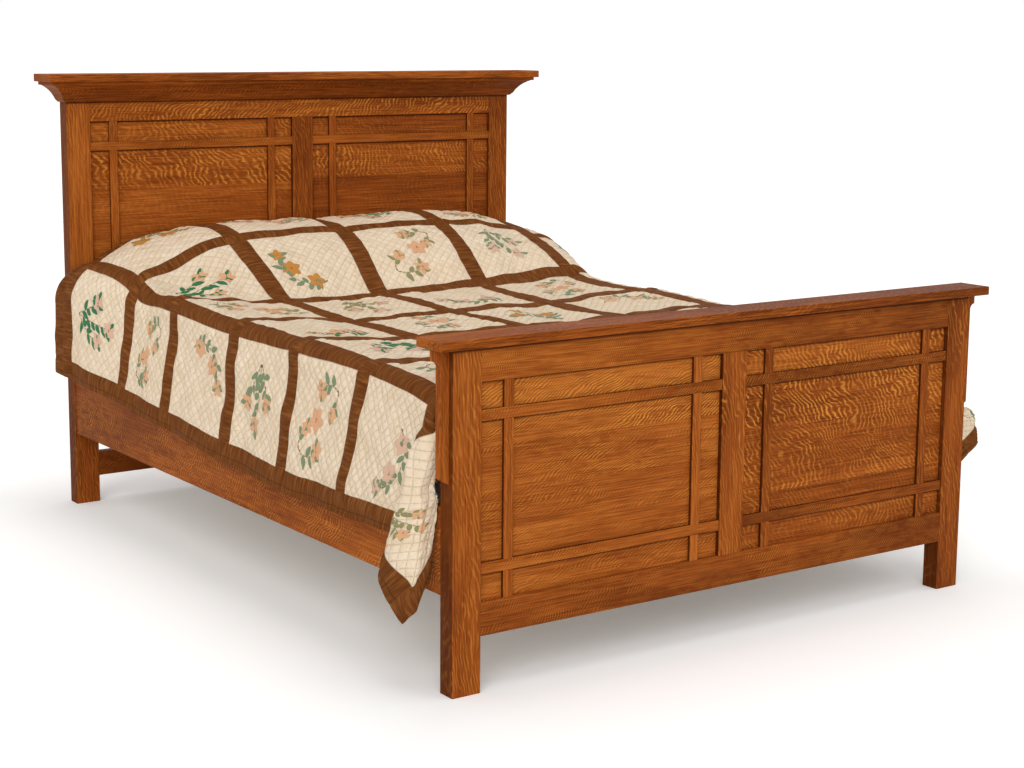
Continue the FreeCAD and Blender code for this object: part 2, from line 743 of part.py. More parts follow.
def centre_leg(place, number):
    """A square leg under the middle of a slat, bored from below for its levelling foot."""
    name = f"centre_leg_{place}"
    middle = slat_y(number)
    blank = board(name + "_blank", ("-leg_width / 2", "leg_width / 2"),
                  (f"{middle} - leg_width / 2", f"{middle} + leg_width / 2"), ("leg_base_z", "ledger_top_z"))
    bore = doc.addObject("Part::Cylinder", name + "_bore")
    bore.setExpression("Radius", bound("glide_bore_radius"))
    bore.setExpression("Height", bound("glide_bore_depth + cut_overrun"))
    set_place(bore, "0", middle, "leg_base_z - cut_overrun")
    keep(cut(name, eased(name + "_eased", blank, "z"), bore))


def levelling_foot(place, number):
    """A turned foot: a bevelled disc on the floor and a stem in the leg's bore."""
    body = doc.addObject("PartDesign::Body", f"levelling_foot_{place}")
    turned = body.newObject("PartDesign::Revolution", f"foot_{place}_turning")
    sketch = outline(body, f"foot_{place}_profile", "XZ_Plane",
                     (("0", "0"), ("glide_shoulder_radius", "0"), ("glide_disc_radius", "glide_disc_bevel"),
                      ("glide_disc_radius", "glide_bevel_z"), ("glide_shoulder_radius", "glide_disc_height"),
                      ("glide_stem_radius", "glide_disc_height"), ("glide_stem_radius", "glide_top_z"),
                      ("0", "glide_top_z")))
    turned.Profile = sketch
    turned.ReferenceAxis = (sketch, ["V_Axis"])
    set_place(body, "0", slat_y(number), "0")
    keep(body)


# Bedding


def arc(start, middle, end):
    """A round edge through three points."""
    return Part.Arc(start, middle, end).toShape()


def ring(middle, half_x, half_y, corner, bow):
    """A level outline with round corners, whose sides are drawn in by the bow at their middles."""
    edges = []
    slope = corner * (1 - math.sqrt(0.5))
    for turn in range(4):
        across, along = (half_x, half_y) if turn % 2 == 0 else (half_y, half_x)
        local = [(-(across - corner), -along), (0, -along + bow), (across - corner, -along),
                 (across - slope, -along + slope), (across, -(along - corner))]
        spin = FreeCAD.Rotation(FreeCAD.Vector(0, 0, 1), 90 * turn)
        start, side, bend, curve, end = (middle + spin.multVec(FreeCAD.Vector(u, v, 0)) for u, v in local)
        edges.append(arc(start, side, bend) if bow else Part.LineSegment(start, bend).toShape())
        edges.append(arc(bend, curve, end))
    return Part.Wire(edges)


def soft(name, shape):
    """A soft piece with a shape of its own."""
    feature = doc.addObject("Part::Feature", name)
    feature.Shape = shape
    return keep(feature)


def cushion(name, middle, half_x, half_y, corner, bow, levels, lean_share=0, round_share=-0.5):
    """A cushion lofted through level outlines, each given by its height and how far it is drawn in.

    Of that draw, the lean moves the outline towards the head and the round is added to its corners.
    """
    wires = []
    widest_share = 0.8
    for rise, draw in levels:
        bend = min(corner + round_share * draw, widest_share * (half_y - draw))
        bend = max(bend, corner / 2)
        spot = middle + FreeCAD.Vector(0, lean_share * draw, rise)
        wires.append(ring(spot, half_x - draw, half_y - draw, bend, bow))
    soft(name, Part.makeLoft(wires, True, True))


def foundation():
    """A box spring: straight sides between drawn-in upper and lower edges."""
    height, draw = value("foundation_height"), value("foundation_draw")
    level_shares = ((0, 1), (0.05, 0), (0.95, 0), (1, 1))
    cushion("foundation", FreeCAD.Vector(0, value("mattress_mid_y"), value("foundation_base_z")),
            value("mattress_width") / 2, value("mattress_length") / 2, value("foundation_corner"), 0,
            [(rise * height, inward * draw) for rise, inward in level_shares])


def mattress():
    """A mattress with a roll round its upper and lower edges, sides drawn in between, and a dished top."""
    height, draw = value("mattress_height"), value("mattress_draw")
    level_shares = ((0, 1), (0.09, 0), (0.22, 0.25), (0.78, 0.25), (0.91, 0), (1, 1))
    levels = [(rise * height, inward * draw) for rise, inward in level_shares]
    dish, roll = value("mattress_dish"), value("mattress_roll_width")
    dish_shares = (0.5, 1)
    levels += [(height - inward * dish, draw + inward * roll) for inward in dish_shares]
    cushion("mattress", FreeCAD.Vector(0, value("mattress_mid_y"), value("mattress_base_z")),
            value("mattress_width") / 2, value("mattress_length") / 2, value("mattress_corner"), 0, levels)


def pillow(side):
    """A pillow: a flat base, a seam low on its drawn-in sides, and a crown that leans on the headboard."""
    length, width, height = value("pillow_length"), value("pillow_width"), value("pillow_height")
    sign = 1 if side == "right" else -1
    level_shares = ((0, 0.06), (0.08, 0), (0.2, 0.075), (0.45, 0.215), (0.7, 0.37), (0.9, 0.53), (1, 0.66))
    lean_share, round_share = 0.6, 1.5
    middle = FreeCAD.Vector(sign * (value("pillow_gap") + length) / 2,
                            value("mattress_head_y") - width / 2, value("pillow_base_z"))
    cushion(f"pillow_{side}", middle, length / 2, width / 2, value("pillow_corner"), value("pillow_bow"),
            [(rise * height, inward * width / 2) for rise, inward in level_shares], lean_share, round_share)


# One section of the quilt: its place and the lengths that shape it there
Station = collections.namedtuple(
    "Station", "along drawn rise drop flare slack crest ridge opening", defaults=(0, 0, 0))

# Folds of the quilt near its foot corners, as shares of the ear's width, the ear's drop, the flare and
# the crest
EAR_SHARES = ((0.13, 0.84, 1.2, 0), (0.32, 0.9, 1.35, 0.12), (0.56, 1.0, 1.5, 0.4), (0.78, 0.72, 1.3, 0.62))
# Folds along its sides up to the pillows, as shares of that length, the drop, the flare, the crest along
# the left edge and the ridge that crosses the left row
SIDE_SHARES = ((0.121, 1.0, 1.05, 0.78, 0), (0.223, 1.0, 0.8, 1.0, 1), (0.34, 0.99, 1.15, 1.1, 0),
               (0.454, 1.0, 0.8, 1.1, 1), (0.57, 0.99, 1.15, 1.1, 0), (0.678, 0.985, 1.0, 1.15, 1),
               (0.83, 0.91, 0.9, 1.35, 0), (0.9725, 0.87, 1.1, 1.15, 0))
# Folds beside the pillows, as shares of the pillow's width, the rise over the pillow, the drop, the flare,
# the crest and the opening out of the shoulders
PILLOW_SHARES = ((0.0575, 0.22, 0.86, 0.85, 0.9, 0.23), (0.207, 0.53, 0.84, 0.6, 0.7, 0.4),
                 (0.356, 0.8, 0.83, 0.55, 0.45, 0.58), (0.505, 0.95, 0.82, 0.3, 0.3, 0.75),
                 (0.697, 1.0, 0.8, 0.25, 0.2, 0.92), (1.0, 0.93, 0.77, 0.15, 0.1, 1.0))
# Heights over the middle, the inner and outer rows and the shoulder, as shares of the rise and of the dish
RISE_SHARES = (1.0, 1.0, 0.92, 0.58)
SINK_SHARES = (1.0, 1.0, 0.35, 0)
# Places of the inner and outer rows, as shares of the mattress's half width
ROW_SHARES = (0.46, 0.735)


def quilt_half(station, inset, side):
    """Points of one side of the quilt's section from its middle to the hem, drawn in by the inset."""
    edge = value("quilt_edge_z") - station.drawn
    opening = station.opening * value("quilt_opening")
    shoulder = value("quilt_shoulder_x") + opening - station.drawn
    radius = value("quilt_shoulder_radius") + opening
    sink = station.slack * value("mattress_dish")
    heights = [edge + up * station.rise - down * sink for up, down in zip(RISE_SHARES, SINK_SHARES)]
    if side == "left":
        heights[2] += station.ridge * value("quilt_ridge")
        heights[3] += station.crest * value("quilt_crest")
    centre_x, centre_z = shoulder - radius, heights[3] - radius
    slant = (radius - inset) * math.sqrt(0.5)
    rows = [share * value("mattress_width") / 2 for share in (0, *ROW_SHARES)]
    return [(across, height - inset) for across, height in zip((*rows, centre_x), heights)] + [
        (centre_x + slant, centre_z + slant), (shoulder - inset, centre_z),
        (shoulder + station.flare - inset, edge - station.drop)]


def quilt_profile(station, inset):
    """Points of the quilt's section from the left hem to the right, drawn in by the inset."""
    left = [(-across, height) for across, height in quilt_half(station, inset, "left")]
    points = left[:0:-1] + quilt_half(station, inset, "right")
    return [FreeCAD.Vector(across, station.along, height) for across, height in points]


def quilt_edges(points):
    """Edges through a profile's points, with round shoulders."""
    edges = []
    turn = 0
    while turn < len(points) - 1:
        if turn in (1, len(points) - 4):
            edges.append(arc(*points[turn:turn + 3]))
            turn += 2
        else:
            edges.append(Part.LineSegment(points[turn], points[turn + 1]).toShape())
            turn += 1
    return edges


def quilt_section(station):
    """The closed section of the quilt at one place along the bed."""
    outer = quilt_profile(station, 0)
    inner = quilt_profile(station, value("quilt_thickness"))
    hems = [Part.LineSegment(outer[-1], inner[-1]).toShape(), Part.LineSegment(inner[0], outer[0]).toShape()]
    return Part.Wire(Part.__sortEdges__(quilt_edges(outer) + quilt_edges(inner) + hems))


def quilt_slack(beyond_foot):
    """How far the quilt has sunk into the mattress's dish at a distance from the foot, from 0 to 1."""
    sunk = (beyond_foot - value("bedding_clearance") - value("mattress_draw")) / value("mattress_roll_width")
    return min(1, max(0, sunk))


def quilt_stations():
    """Sections from the foot to the head."""
    foot = value("quilt_foot_y")
    bend = value("quilt_foot_round")
    drop, flare = value("quilt_drop"), value("quilt_flare")
    stations = []
    foot_shares = ((0, 1.0, 0), (45, 1.02, 0.85), (90, 1.9, 1.1))
    for angle, drop_share, flare_share in foot_shares:
        turned = math.radians(angle)
        stations.append(Station(foot + bend * (1 - math.cos(turned)), bend * (1 - math.sin(turned)), 0,
                                drop_share * value("quilt_foot_drop"), flare_share * flare, 0))
    for along_share, drop_share, flare_share, crest in EAR_SHARES:
        along = along_share * value("quilt_ear_width")
        stations.append(Station(foot + along, 0, 0, drop_share * value("quilt_ear_drop"),
                                flare_share * flare, quilt_slack(along), crest))
    for along_share, drop_share, flare_share, crest, ridge in SIDE_SHARES:
        along = along_share * value("pillow_front")
        stations.append(Station(foot + along, 0, 0, drop_share * drop, flare_share * flare,
                                quilt_slack(along), crest, ridge))
    for along_share, rise_share, drop_share, flare_share, crest, opening in PILLOW_SHARES:
        along = value("pillow_front") + along_share * value("pillow_width")
        stations.append(Station(foot + along, 0, rise_share * value("quilt_rise"), drop_share * drop,
                                flare_share * flare, 0, crest, 0, opening))
    return stations


def quilt():
    """The quilt: a lofted sheet over the bed, closed at the foot by the drop behind the footboard."""
    stations = quilt_stations()
    sheet = Part.makeLoft([quilt_section(station) for station in stations], True, True)
    rim = quilt_profile(stations[0], 0)
    hem = Part.LineSegment(rim[-1], rim[0]).toShape()
    flap = Part.Face(Part.Wire(Part.__sortEdges__(quilt_edges(rim) + [hem])))
    flap = flap.extrude(FreeCAD.Vector(0, -value("quilt_thickness"), 0))
    whole = sheet.fuse(flap)
    soft("quilt", whole.Solids[0] if len(whole.Solids) == 1 else whole)


# The whole bed

end_frame("head", ("upper",))
headboard_top()
end_frame("foot", ("upper", "lower"))
footboard_top()
for bed_side in SIDES:
    side_rail(bed_side)
    ledger(bed_side)
for slat_number in range(SLAT_COUNT):
    slat(slat_number)
for leg_place, under_slat in LEG_SLATS.items():
    centre_leg(leg_place, under_slat)
    levelling_foot(leg_place, under_slat)
corners = [(end, side) for end in ENDS for side in SIDES]
group("rail_hook_plates", [hook_plate(end, side) for end, side in corners])
group("post_slotted_plates", [slotted_plate(end, side) for end, side in corners])
keep(screws("ledger_screws", ledger_screw_places("left") + ledger_screw_places("right"), 0))
slat_screw_places = [slat_screw_place(side, number) for side in SIDES for number in range(SLAT_COUNT)]
keep(screws("slat_screws", slat_screw_places, 0))
foundation()
mattress()
for pillow_side in SIDES:
    pillow(pillow_side)
quilt()
doc.recompute()

# Every object has to be sound before anything is written
failed = [obj.Label for obj in doc.Objects if "Invalid" in obj.State or "Error" in obj.State]
failed += [part.Label for part in parts if part.Shape.isNull() or not part.Shape.isValid()]
if failed:
    raise RuntimeError("failed: " + ", ".join(sorted(set(failed))))

os.makedirs("parts", exist_ok=True)
for part in parts:
    part.Shape.exportStep(f"parts/{part.Label}.step")
print(len(parts), "pieces written")
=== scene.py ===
"""Panel bed in stained quarter-sawn oak with a patchwork quilt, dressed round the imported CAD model."""
import math

import bmesh
import bpy
import numpy as np
from mathutils import Matrix, Vector


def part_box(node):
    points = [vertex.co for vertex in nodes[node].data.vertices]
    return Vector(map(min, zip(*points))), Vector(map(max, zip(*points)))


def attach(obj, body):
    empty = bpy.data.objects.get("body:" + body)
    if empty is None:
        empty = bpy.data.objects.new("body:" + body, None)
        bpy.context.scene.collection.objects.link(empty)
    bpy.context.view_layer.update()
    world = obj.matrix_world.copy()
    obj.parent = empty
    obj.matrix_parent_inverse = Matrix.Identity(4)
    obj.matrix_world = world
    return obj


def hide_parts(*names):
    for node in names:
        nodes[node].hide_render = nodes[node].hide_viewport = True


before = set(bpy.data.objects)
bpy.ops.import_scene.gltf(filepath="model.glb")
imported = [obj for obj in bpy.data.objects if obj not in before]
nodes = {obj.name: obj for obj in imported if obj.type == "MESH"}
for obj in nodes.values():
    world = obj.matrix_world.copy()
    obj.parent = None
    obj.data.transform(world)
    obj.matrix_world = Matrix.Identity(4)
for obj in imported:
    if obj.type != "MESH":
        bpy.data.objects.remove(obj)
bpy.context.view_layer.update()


# Shapes

def smooth_through(places, values, at):
    """A curve through the values at the places that never overshoots them.

    Between two places it is the cubic with the neighbours' slopes; a slope is the harmonic mean of the rates
    on both sides, or level where they differ in sign. The values may carry further axes.
    """
    places, values, at = np.asarray(places, float), np.asarray(values, float), np.asarray(at, float)
    more = (1,) * (values.ndim - 1)
    step = np.diff(places)
    rate = np.diff(values, axis=0) / step.reshape(-1, *more)
    slope = np.empty_like(values)
    slope[0], slope[-1] = rate[0], rate[-1]
    both = rate[:-1] * rate[1:]
    slope[1:-1] = np.where(both > 0, 2 * both / np.where(both > 0, rate[:-1] + rate[1:], 1), 0)
    k = np.clip(np.searchsorted(places, at) - 1, 0, len(step) - 1)
    wide = step[k].reshape(at.shape + more)
    f = np.clip((at - places[k]) / step[k], 0, 1).reshape(at.shape + more)
    g = 1 - f
    return (values[k] * g * g * (1 + 2 * f) + values[k + 1] * f * f * (1 + 2 * g)
            + wide * (slope[k] * f * g * g - slope[k + 1] * f * f * g))


def ease(low, high, at):
    """Rises from 0 at low to 1 at high along 3f^2 - 2f^3."""
    f = np.clip((np.asarray(at, float) - low) / (high - low), 0, 1)
    return f * f * (3 - 2 * f)


def ripples(seed, s, t, longest, fall):
    """Five sine waves added up, with seeded directions and phases, each shorter and lower than the last."""
    draw = np.random.default_rng(seed)
    total = np.zeros(np.broadcast(s, t).shape)
    for k in range(5):
        way, phase = draw.uniform(0, math.pi), draw.uniform(0, 2 * math.pi)
        wave = 2 * math.pi / (longest * fall ** k)
        total = total + fall ** k * np.sin(wave * (math.cos(way) * s + math.sin(way) * t) + phase)
    return total


def unit(arrows):
    """Arrows brought to length 1."""
    return arrows / np.maximum(np.linalg.norm(arrows, axis=-1, keepdims=True), 1e-12)


def normals(grid):
    """Unit normals of a grid surface: the cross product of its two sets of differences."""
    return unit(np.cross(np.gradient(grid, axis=0), np.gradient(grid, axis=1)))


def quads(rows, columns, round_rows=False, round_columns=False):
    """Corner numbers of the faces of a grid whose points are numbered row by row."""
    i = np.arange(rows if round_rows else rows - 1)[:, None]
    j = np.arange(columns if round_columns else columns - 1)[None, :]
    i2, j2 = (i + 1) % rows, (j + 1) % columns
    corners = [i * columns + j, i2 * columns + j, i2 * columns + j2, i * columns + j2]
    return np.stack(corners, 2).reshape(-1, 4)


def put(name, data):
    """A new object in the scene."""
    made = bpy.data.objects.new(name, data)
    bpy.context.scene.collection.objects.link(made)
    return made


def piece(name, points, faces, finish, body, uv=None, tint=None, closed=False):
    """A smooth mesh piece at the origin, with its points, faces, finish and the body that it rides on.

    uv gives each point's place on the flat cloth, and tint its thread colour. A closed piece has the points
    that meet at its poles and seams merged.
    """
    mesh = bpy.data.meshes.new(name)
    points, faces = np.asarray(points, np.float32).reshape(-1, 3), np.asarray(faces, np.int32)
    mesh.vertices.add(len(points))
    mesh.vertices.foreach_set("co", points.ravel())
    mesh.loops.add(faces.size)
    mesh.loops.foreach_set("vertex_index", faces.ravel())
    mesh.polygons.add(len(faces))
    mesh.polygons.foreach_set("loop_start", np.arange(0, faces.size, faces.shape[1], dtype=np.int32))
    mesh.polygons.foreach_set("use_smooth", np.ones(len(faces), bool))
    if uv is not None:
        layer = mesh.uv_layers.new(name="flat")
        layer.data.foreach_set("uv", np.asarray(uv, np.float32).reshape(-1, 2)[faces.ravel()].ravel())
    if tint is not None:
        layer = mesh.color_attributes.new("thread", "FLOAT_COLOR", "POINT")
        layer.data.foreach_set("color", np.asarray(tint, np.float32).ravel())
    mesh.update(calc_edges=True)
    mesh.validate()
    if closed:
        whole = bmesh.new()
        whole.from_mesh(mesh)
        bmesh.ops.remove_doubles(whole, verts=whole.verts, dist=1e-5)
        whole.to_mesh(mesh)
        whole.free()
    mesh.materials.append(finish)
    made = put(name, mesh)
    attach(made, body)
    return made


CORD_SIDES = 8   # corners of a cord's section


def tube(path, radius, closed=True, upright=(0.0, 0.0, 1.0)):
    """A round cord carried along a path: a circle in the plane square to the path at each point."""
    ahead = unit(np.roll(path, -1, 0) - np.roll(path, 1, 0) if closed else np.gradient(path, axis=0))
    side = unit(np.cross(ahead, np.broadcast_to(upright, path.shape)))
    top = np.cross(side, ahead)
    turn = np.linspace(0, 2 * math.pi, CORD_SIDES, endpoint=False)
    ring = np.cos(turn)[None, :, None] * side[:, None] + np.sin(turn)[None, :, None] * top[:, None]
    return path[:, None] + radius * ring, quads(len(path), CORD_SIDES, closed, True)


# Finishes

def paint(red, green, blue):
    """A colour written in screen values from 0 to 255, as the linear colour that the shaders take."""
    c = np.array([red, green, blue]) / 255
    return (*np.where(c <= 0.04045, c / 12.92, ((c + 0.055) / 1.055) ** 2.4), 1.0)


class Nodes:
    """A node tree, filled step by step; an input is a socket to link or a value to set."""

    def __init__(self, owner, shader):
        owner.use_nodes = True
        self.tree = owner.node_tree
        self.shader = self.tree.nodes[shader]

    def give(self, socket, value):
        """A value or a link for an input of the shader."""
        self.set(self.shader, socket, value)

    def set(self, node, socket, value):
        target = node.inputs[socket]
        if isinstance(value, bpy.types.NodeSocket):
            self.tree.links.new(value, target)
        else:
            target.default_value = value

    def add(self, kind, inputs=None, output=0, **settings):
        node = self.tree.nodes.new("ShaderNode" + kind)
        for key, value in settings.items():
            setattr(node, key, value)
        for socket, value in (inputs or {}).items():
            self.set(node, socket, value)
        return node.outputs[output]

    def math(self, operation, a, b=0.0, clamp=False):
        return self.add("Math", {0: a, 1: b}, operation=operation, use_clamp=clamp)

    def plus(self, a, b):
        return self.math("ADD", a, b)

    def minus(self, a, b):
        return self.math("SUBTRACT", a, b)

    def times(self, a, b, clamp=False):
        return self.math("MULTIPLY", a, b, clamp)

    def ramp(self, factor, *stops):
        """A run of colours or greys over a factor; a stop is a place and a colour, or a place and a grey."""
        node = self.tree.nodes.new("ShaderNodeValToRGB")
        self.tree.links.new(factor, node.inputs[0])
        band = node.color_ramp
        while len(band.elements) < len(stops):
            band.elements.new(0.5)
        for stop, (place, colour) in zip(band.elements, stops):
            stop.position = place
            stop.color = colour if isinstance(colour, tuple) else (colour, colour, colour, 1)
        return node.outputs[0]

    def mix(self, factor, a, b):
        """Two colours mixed by the second one's share."""
        node = self.tree.nodes.new("ShaderNodeMix")
        node.data_type = "RGBA"
        for socket, value in ((0, factor), (6, a), (7, b)):
            self.set(node, socket, value)
        return node.outputs[2]

    def point(self):
        """Object coordinates."""
        return self.add("TexCoord", output=3)

    def axes(self, point):
        """The three coordinates of a point."""
        return self.add("SeparateXYZ", {0: point}).node.outputs[:]

    def flat(self):
        """Places on the flat cloth."""
        return self.add("UVMap", uv_map="flat")

    def map(self, point, scale, shift=(0, 0, 0)):
        return self.add("Mapping", {0: point, 1: shift, 3: scale})

    def board(self, grain, seed):
        """Object coordinates with the grain first, moved by a seeded amount, so no two boards are alike."""
        parts = dict(zip("xyz", self.axes(self.point())))
        turned = self.add("CombineXYZ", {k: parts[axis] for k, axis in enumerate(GRAIN_ORDER[grain])})
        return self.map(turned, (1, 1, 1), tuple(np.random.default_rng(seed).uniform(-5, 5, 3)))

    def noise(self, point, scale, detail=2.0, rough=0.5, twist=0.0):
        return self.add("TexNoise", {"Vector": point, "Scale": scale, "Detail": detail, "Roughness": rough,
                                     "Distortion": twist})

    def stretched(self, point, scale, detail, rough=0.5, twist=0.0):
        """Noise that is finer along some axes than along others."""
        return self.noise(self.map(point, scale), 1.0, detail, rough, twist)

    def lines(self, point, scale, way, twist=0.0):
        """Even lines across a direction, as of threads."""
        return self.add("TexWave", {"Vector": point, "Scale": scale, "Distortion": twist}, output=1,
                        bands_direction=way)

    def weave(self, point, scale):
        return self.times(self.lines(point, scale, "X"), self.lines(point, scale, "Y"))

    def bump(self, height, strength, depth):
        self.give("Normal", self.add("Bump", {"Height": height, "Strength": strength, "Distance": depth}))


class Finish(Nodes):
    """A material's node tree."""

    def __init__(self, name, **shader):
        self.material = bpy.data.materials.new(name)
        super().__init__(self.material, "Principled BSDF")
        for socket, value in shader.items():
            self.give(socket.replace("_", " "), value)


GRAIN_ORDER = {"x": "xzy", "y": "yzx", "z": "zxy"}   # axes by the one along the grain: it comes first
OAK_DARK, OAK_MID, OAK_LIGHT = paint(114, 54, 17), paint(157, 80, 28), paint(191, 110, 44)
# The last of these is the colour of painted shade, laid on side faces and in shadow lines under caps, rails
# and strips
OAK_RAY, OAK_PORE, OAK_PAINTED_SHADE = paint(226, 150, 60), paint(84, 38, 8), paint(56, 22, 7)
EASED = 0.0015        # how far behind a front face its rounded edges reach
REVEAL = 0.0135       # how far the narrow faces of strips and stiles reach behind their front
SKIN = 0.004          # how far behind a front face the painted shadow lines under its corners reach
SHADOW_LINE_BAND = 0.02    # height of the band under a corner over which a painted shadow line is laid out
BOARD_SHIFT = (3.7, 1.9)   # how far the figure of glued boards is moved from one to the next


def oak(name, grain, seed, tone=0.0, figure=0.4, slope=-0.5, pitch=0.007, swirl=6.0, boards=(), pores=0.35,
        side_faces=None, corners=(), fade=None):
    """Stained quarter-sawn oak: fine streaks along the grain, golden ray lines across it and dark open pores.

    grain is the axis along the board, tone makes it lighter or darker, and pores sets how dark its pores are.
    The ray lines are level lines of a slanted ramp plus slow and quick noise: slope sets their slant, pitch
    their distance, swirl how far they wind and figure how bright they are; the dark bands between them are
    painted shade. boards are the heights at which a panel's glued boards meet, each with the tone and the
    figure that the board above it adds. The side faces get painted shade, set by the front face's place along
    the bed, how far they reach behind it and how much darker they are. corners paints shadow lines just under
    its heights after the first, on faces in front of the first value, a place along the bed. fade is an axis,
    two places on it and the tone that the wood gains between them.
    """
    f = Finish(name, Roughness=0.5, Specular_IOR_Level=0.03)
    wood = f.board(grain, seed)
    shade, rays = tone, figure
    across, along, height = f.axes(f.point())
    if fade:
        axis, first, last, gain = fade
        place = {"x": across, "y": along, "z": height}[axis]
        shade = f.plus(shade, f.add("MapRange", {0: place, 1: first, 2: last, 3: 0.0, 4: gain}))
    for joint, joint_tone, joint_figure in boards:
        above = f.math("GREATER_THAN", height, joint)
        shade = f.plus(shade, f.times(above, joint_tone))
        rays = f.plus(rays, f.times(above, joint_figure))
        apart = f.add("CombineXYZ", {k: f.times(above, shift) for k, shift in enumerate(BOARD_SHIFT)})
        wood = f.add("VectorMath", {0: wood, 1: apart}, operation="ADD")
    streak = f.stretched(wood, (6, 290, 165), 3, 0.6, 0.2)
    cloud = f.stretched(wood, (1.8, 9, 9), 2)
    sway = f.stretched(wood, (3.4, 8, 8), 1.5)
    quick = f.stretched(wood, (24, 46, 46), 1)
    ramp = f.add("VectorMath", {0: wood, 1: (slope / pitch, 1 / pitch, 0.3 / pitch)}, output=1,
                 operation="DOT_PRODUCT")
    winding = f.plus(f.times(sway, 2 * swirl), f.times(quick, 2.2))
    wind = f.math("PINGPONG", f.plus(ramp, winding), 0.5)
    broken = f.ramp(f.stretched(wood, (30, 60, 60), 2), (0.36, 0.0), (0.54, 1.0))
    patch = f.ramp(f.stretched(wood, (4, 10, 10), 2), (0.38, 0.3), (0.6, 1.0))
    ray = f.times(f.ramp(wind, (0.28, 0.0), (0.43, 1.0)), f.times(broken, patch))
    # painted shade: dark bands between the ray lines
    shade_between_rays = f.times(f.ramp(wind, (0.04, 1.0), (0.22, 0.0)), patch)
    pore = f.ramp(f.stretched(wood, (16, 380, 380), 1), (0.50, 0.0), (0.66, 1.0))
    level = f.plus(f.times(streak, 0.55), f.times(cloud, 0.45))
    colour = f.ramp(f.plus(level, shade), (0.34, OAK_DARK), (0.5, OAK_MID), (0.66, OAK_LIGHT))
    colour = f.mix(f.times(shade_between_rays, f.times(rays, 0.6), clamp=True), colour, OAK_DARK)
    colour = f.mix(f.times(ray, rays, clamp=True), colour, OAK_RAY)
    colour = f.mix(f.times(pore, pores), colour, OAK_PORE)
    # painted shade on the side faces, between their rounded edges
    if side_faces:
        face, deep, share = side_faces
        start, full = 0.6 * EASED / deep, 1.2 * EASED / deep
        painted_shading = f.ramp(f.math("DIVIDE", f.minus(along, face), deep),
                        (start, 0.0), (full, share), (1 - full, share), (1 - start, 0.0))
        colour = f.mix(painted_shading, colour, OAK_PAINTED_SHADE)
    # painted shadow lines just under each corner height, on the faces in front of the first value
    for corner in corners[1:]:
        painted_shading = f.ramp(f.math("DIVIDE", f.minus(corner, height), SHADOW_LINE_BAND),
                        (0.0, 0.0), (0.01, 0.8), (0.19, 0.7), (0.36, 0.0))
        before = f.math("LESS_THAN", along, corners[0])
        colour = f.mix(f.times(painted_shading, before), colour, OAK_PAINTED_SHADE)
    f.give("Base Color", colour)
    f.give("Roughness", f.plus(f.times(streak, 0.2), 0.38))
    f.bump(f.minus(f.times(streak, 0.5), pore), 0.12, 0.0006)
    return f.material


def plain_wood(name, grain, seed):
    """Unstained hardwood of the hidden frame: pale streaks along the grain and a few darker bands."""
    f = Finish(name, Roughness=0.6)
    wood = f.board(grain, seed)
    streak = f.stretched(wood, (1.5, 60, 40), 3, 0.6, 0.2)
    band = f.stretched(wood, (0.6, 9, 9), 2, 0.5, 0.8)
    level = f.plus(f.times(streak, 0.6), f.times(band, 0.4))
    f.give("Base Color", f.ramp(level, (0.32, paint(150, 112, 70)), (0.5, paint(196, 160, 112)),
                                (0.7, paint(218, 188, 142))))
    f.bump(streak, 0.2, 0.0005)
    return f.material


def zinc(name, shine):
    """Zinc-plated steel: grey metal with a cloudy passivated tint and a fine brushed roughness."""
    f = Finish(name, Metallic=1.0, Roughness=shine)
    cloud = f.noise(f.point(), 60.0, 3, 0.6)
    f.give("Base Color", f.ramp(cloud, (0.35, paint(172, 166, 148)), (0.65, paint(205, 203, 196))))
    fine = f.stretched(f.point(), (900, 120, 120), 2)
    f.give("Roughness", f.plus(f.times(fine, 0.2), shine - 0.1))
    return f.material


def moulded_plastic(name):
    """Matt dark moulded plastic with a fine spark-eroded grain."""
    f = Finish(name, Roughness=0.6)
    fine = f.noise(f.point(), 900.0, 2)
    f.give("Base Color", f.ramp(fine, (0.3, paint(30, 28, 26)), (0.7, paint(48, 45, 42))))
    f.bump(fine, 0.15, 0.0004)
    return f.material


def ticking(name, ground, line, width):
    """Woven ticking: a pale ground with thin stripes along the bed and a fine diagonal twill."""
    f = Finish(name, Roughness=0.85, Sheen_Weight=0.15, Sheen_Roughness=0.5)
    across = f.axes(f.point())[0]
    wave = f.math("ABSOLUTE", f.minus(f.math("FRACT", f.math("DIVIDE", across, width)), 0.5))
    stripe = f.ramp(wave, (0.05, 1.0), (0.075, 0.0))
    second = f.ramp(f.math("ABSOLUTE", f.minus(wave, 0.14)), (0.018, 1.0), (0.03, 0.0))
    tone = f.mix(f.times(f.noise(f.point(), 9.0, 3), 0.25), ground, paint(196, 188, 172))
    tone = f.mix(f.times(f.math("MAXIMUM", stripe, second), 0.75), tone, line)
    f.give("Base Color", tone)
    f.bump(f.lines(f.point(), 900.0, "DIAGONAL", 0.4), 0.25, 0.0006)
    return f.material


def plain_cotton(name):
    """Plain white cotton: a square weave and faint clouding."""
    f = Finish(name, Roughness=0.85, Sheen_Weight=0.15, Sheen_Roughness=0.5)
    cloud = f.noise(f.point(), 7.0, 3)
    f.give("Base Color", f.ramp(cloud, (0.3, paint(226, 222, 212)), (0.7, paint(240, 238, 230))))
    f.bump(f.weave(f.point(), 190.0), 0.2, 0.0005)
    return f.material


# The quilt's plan, in metres on the flat cloth

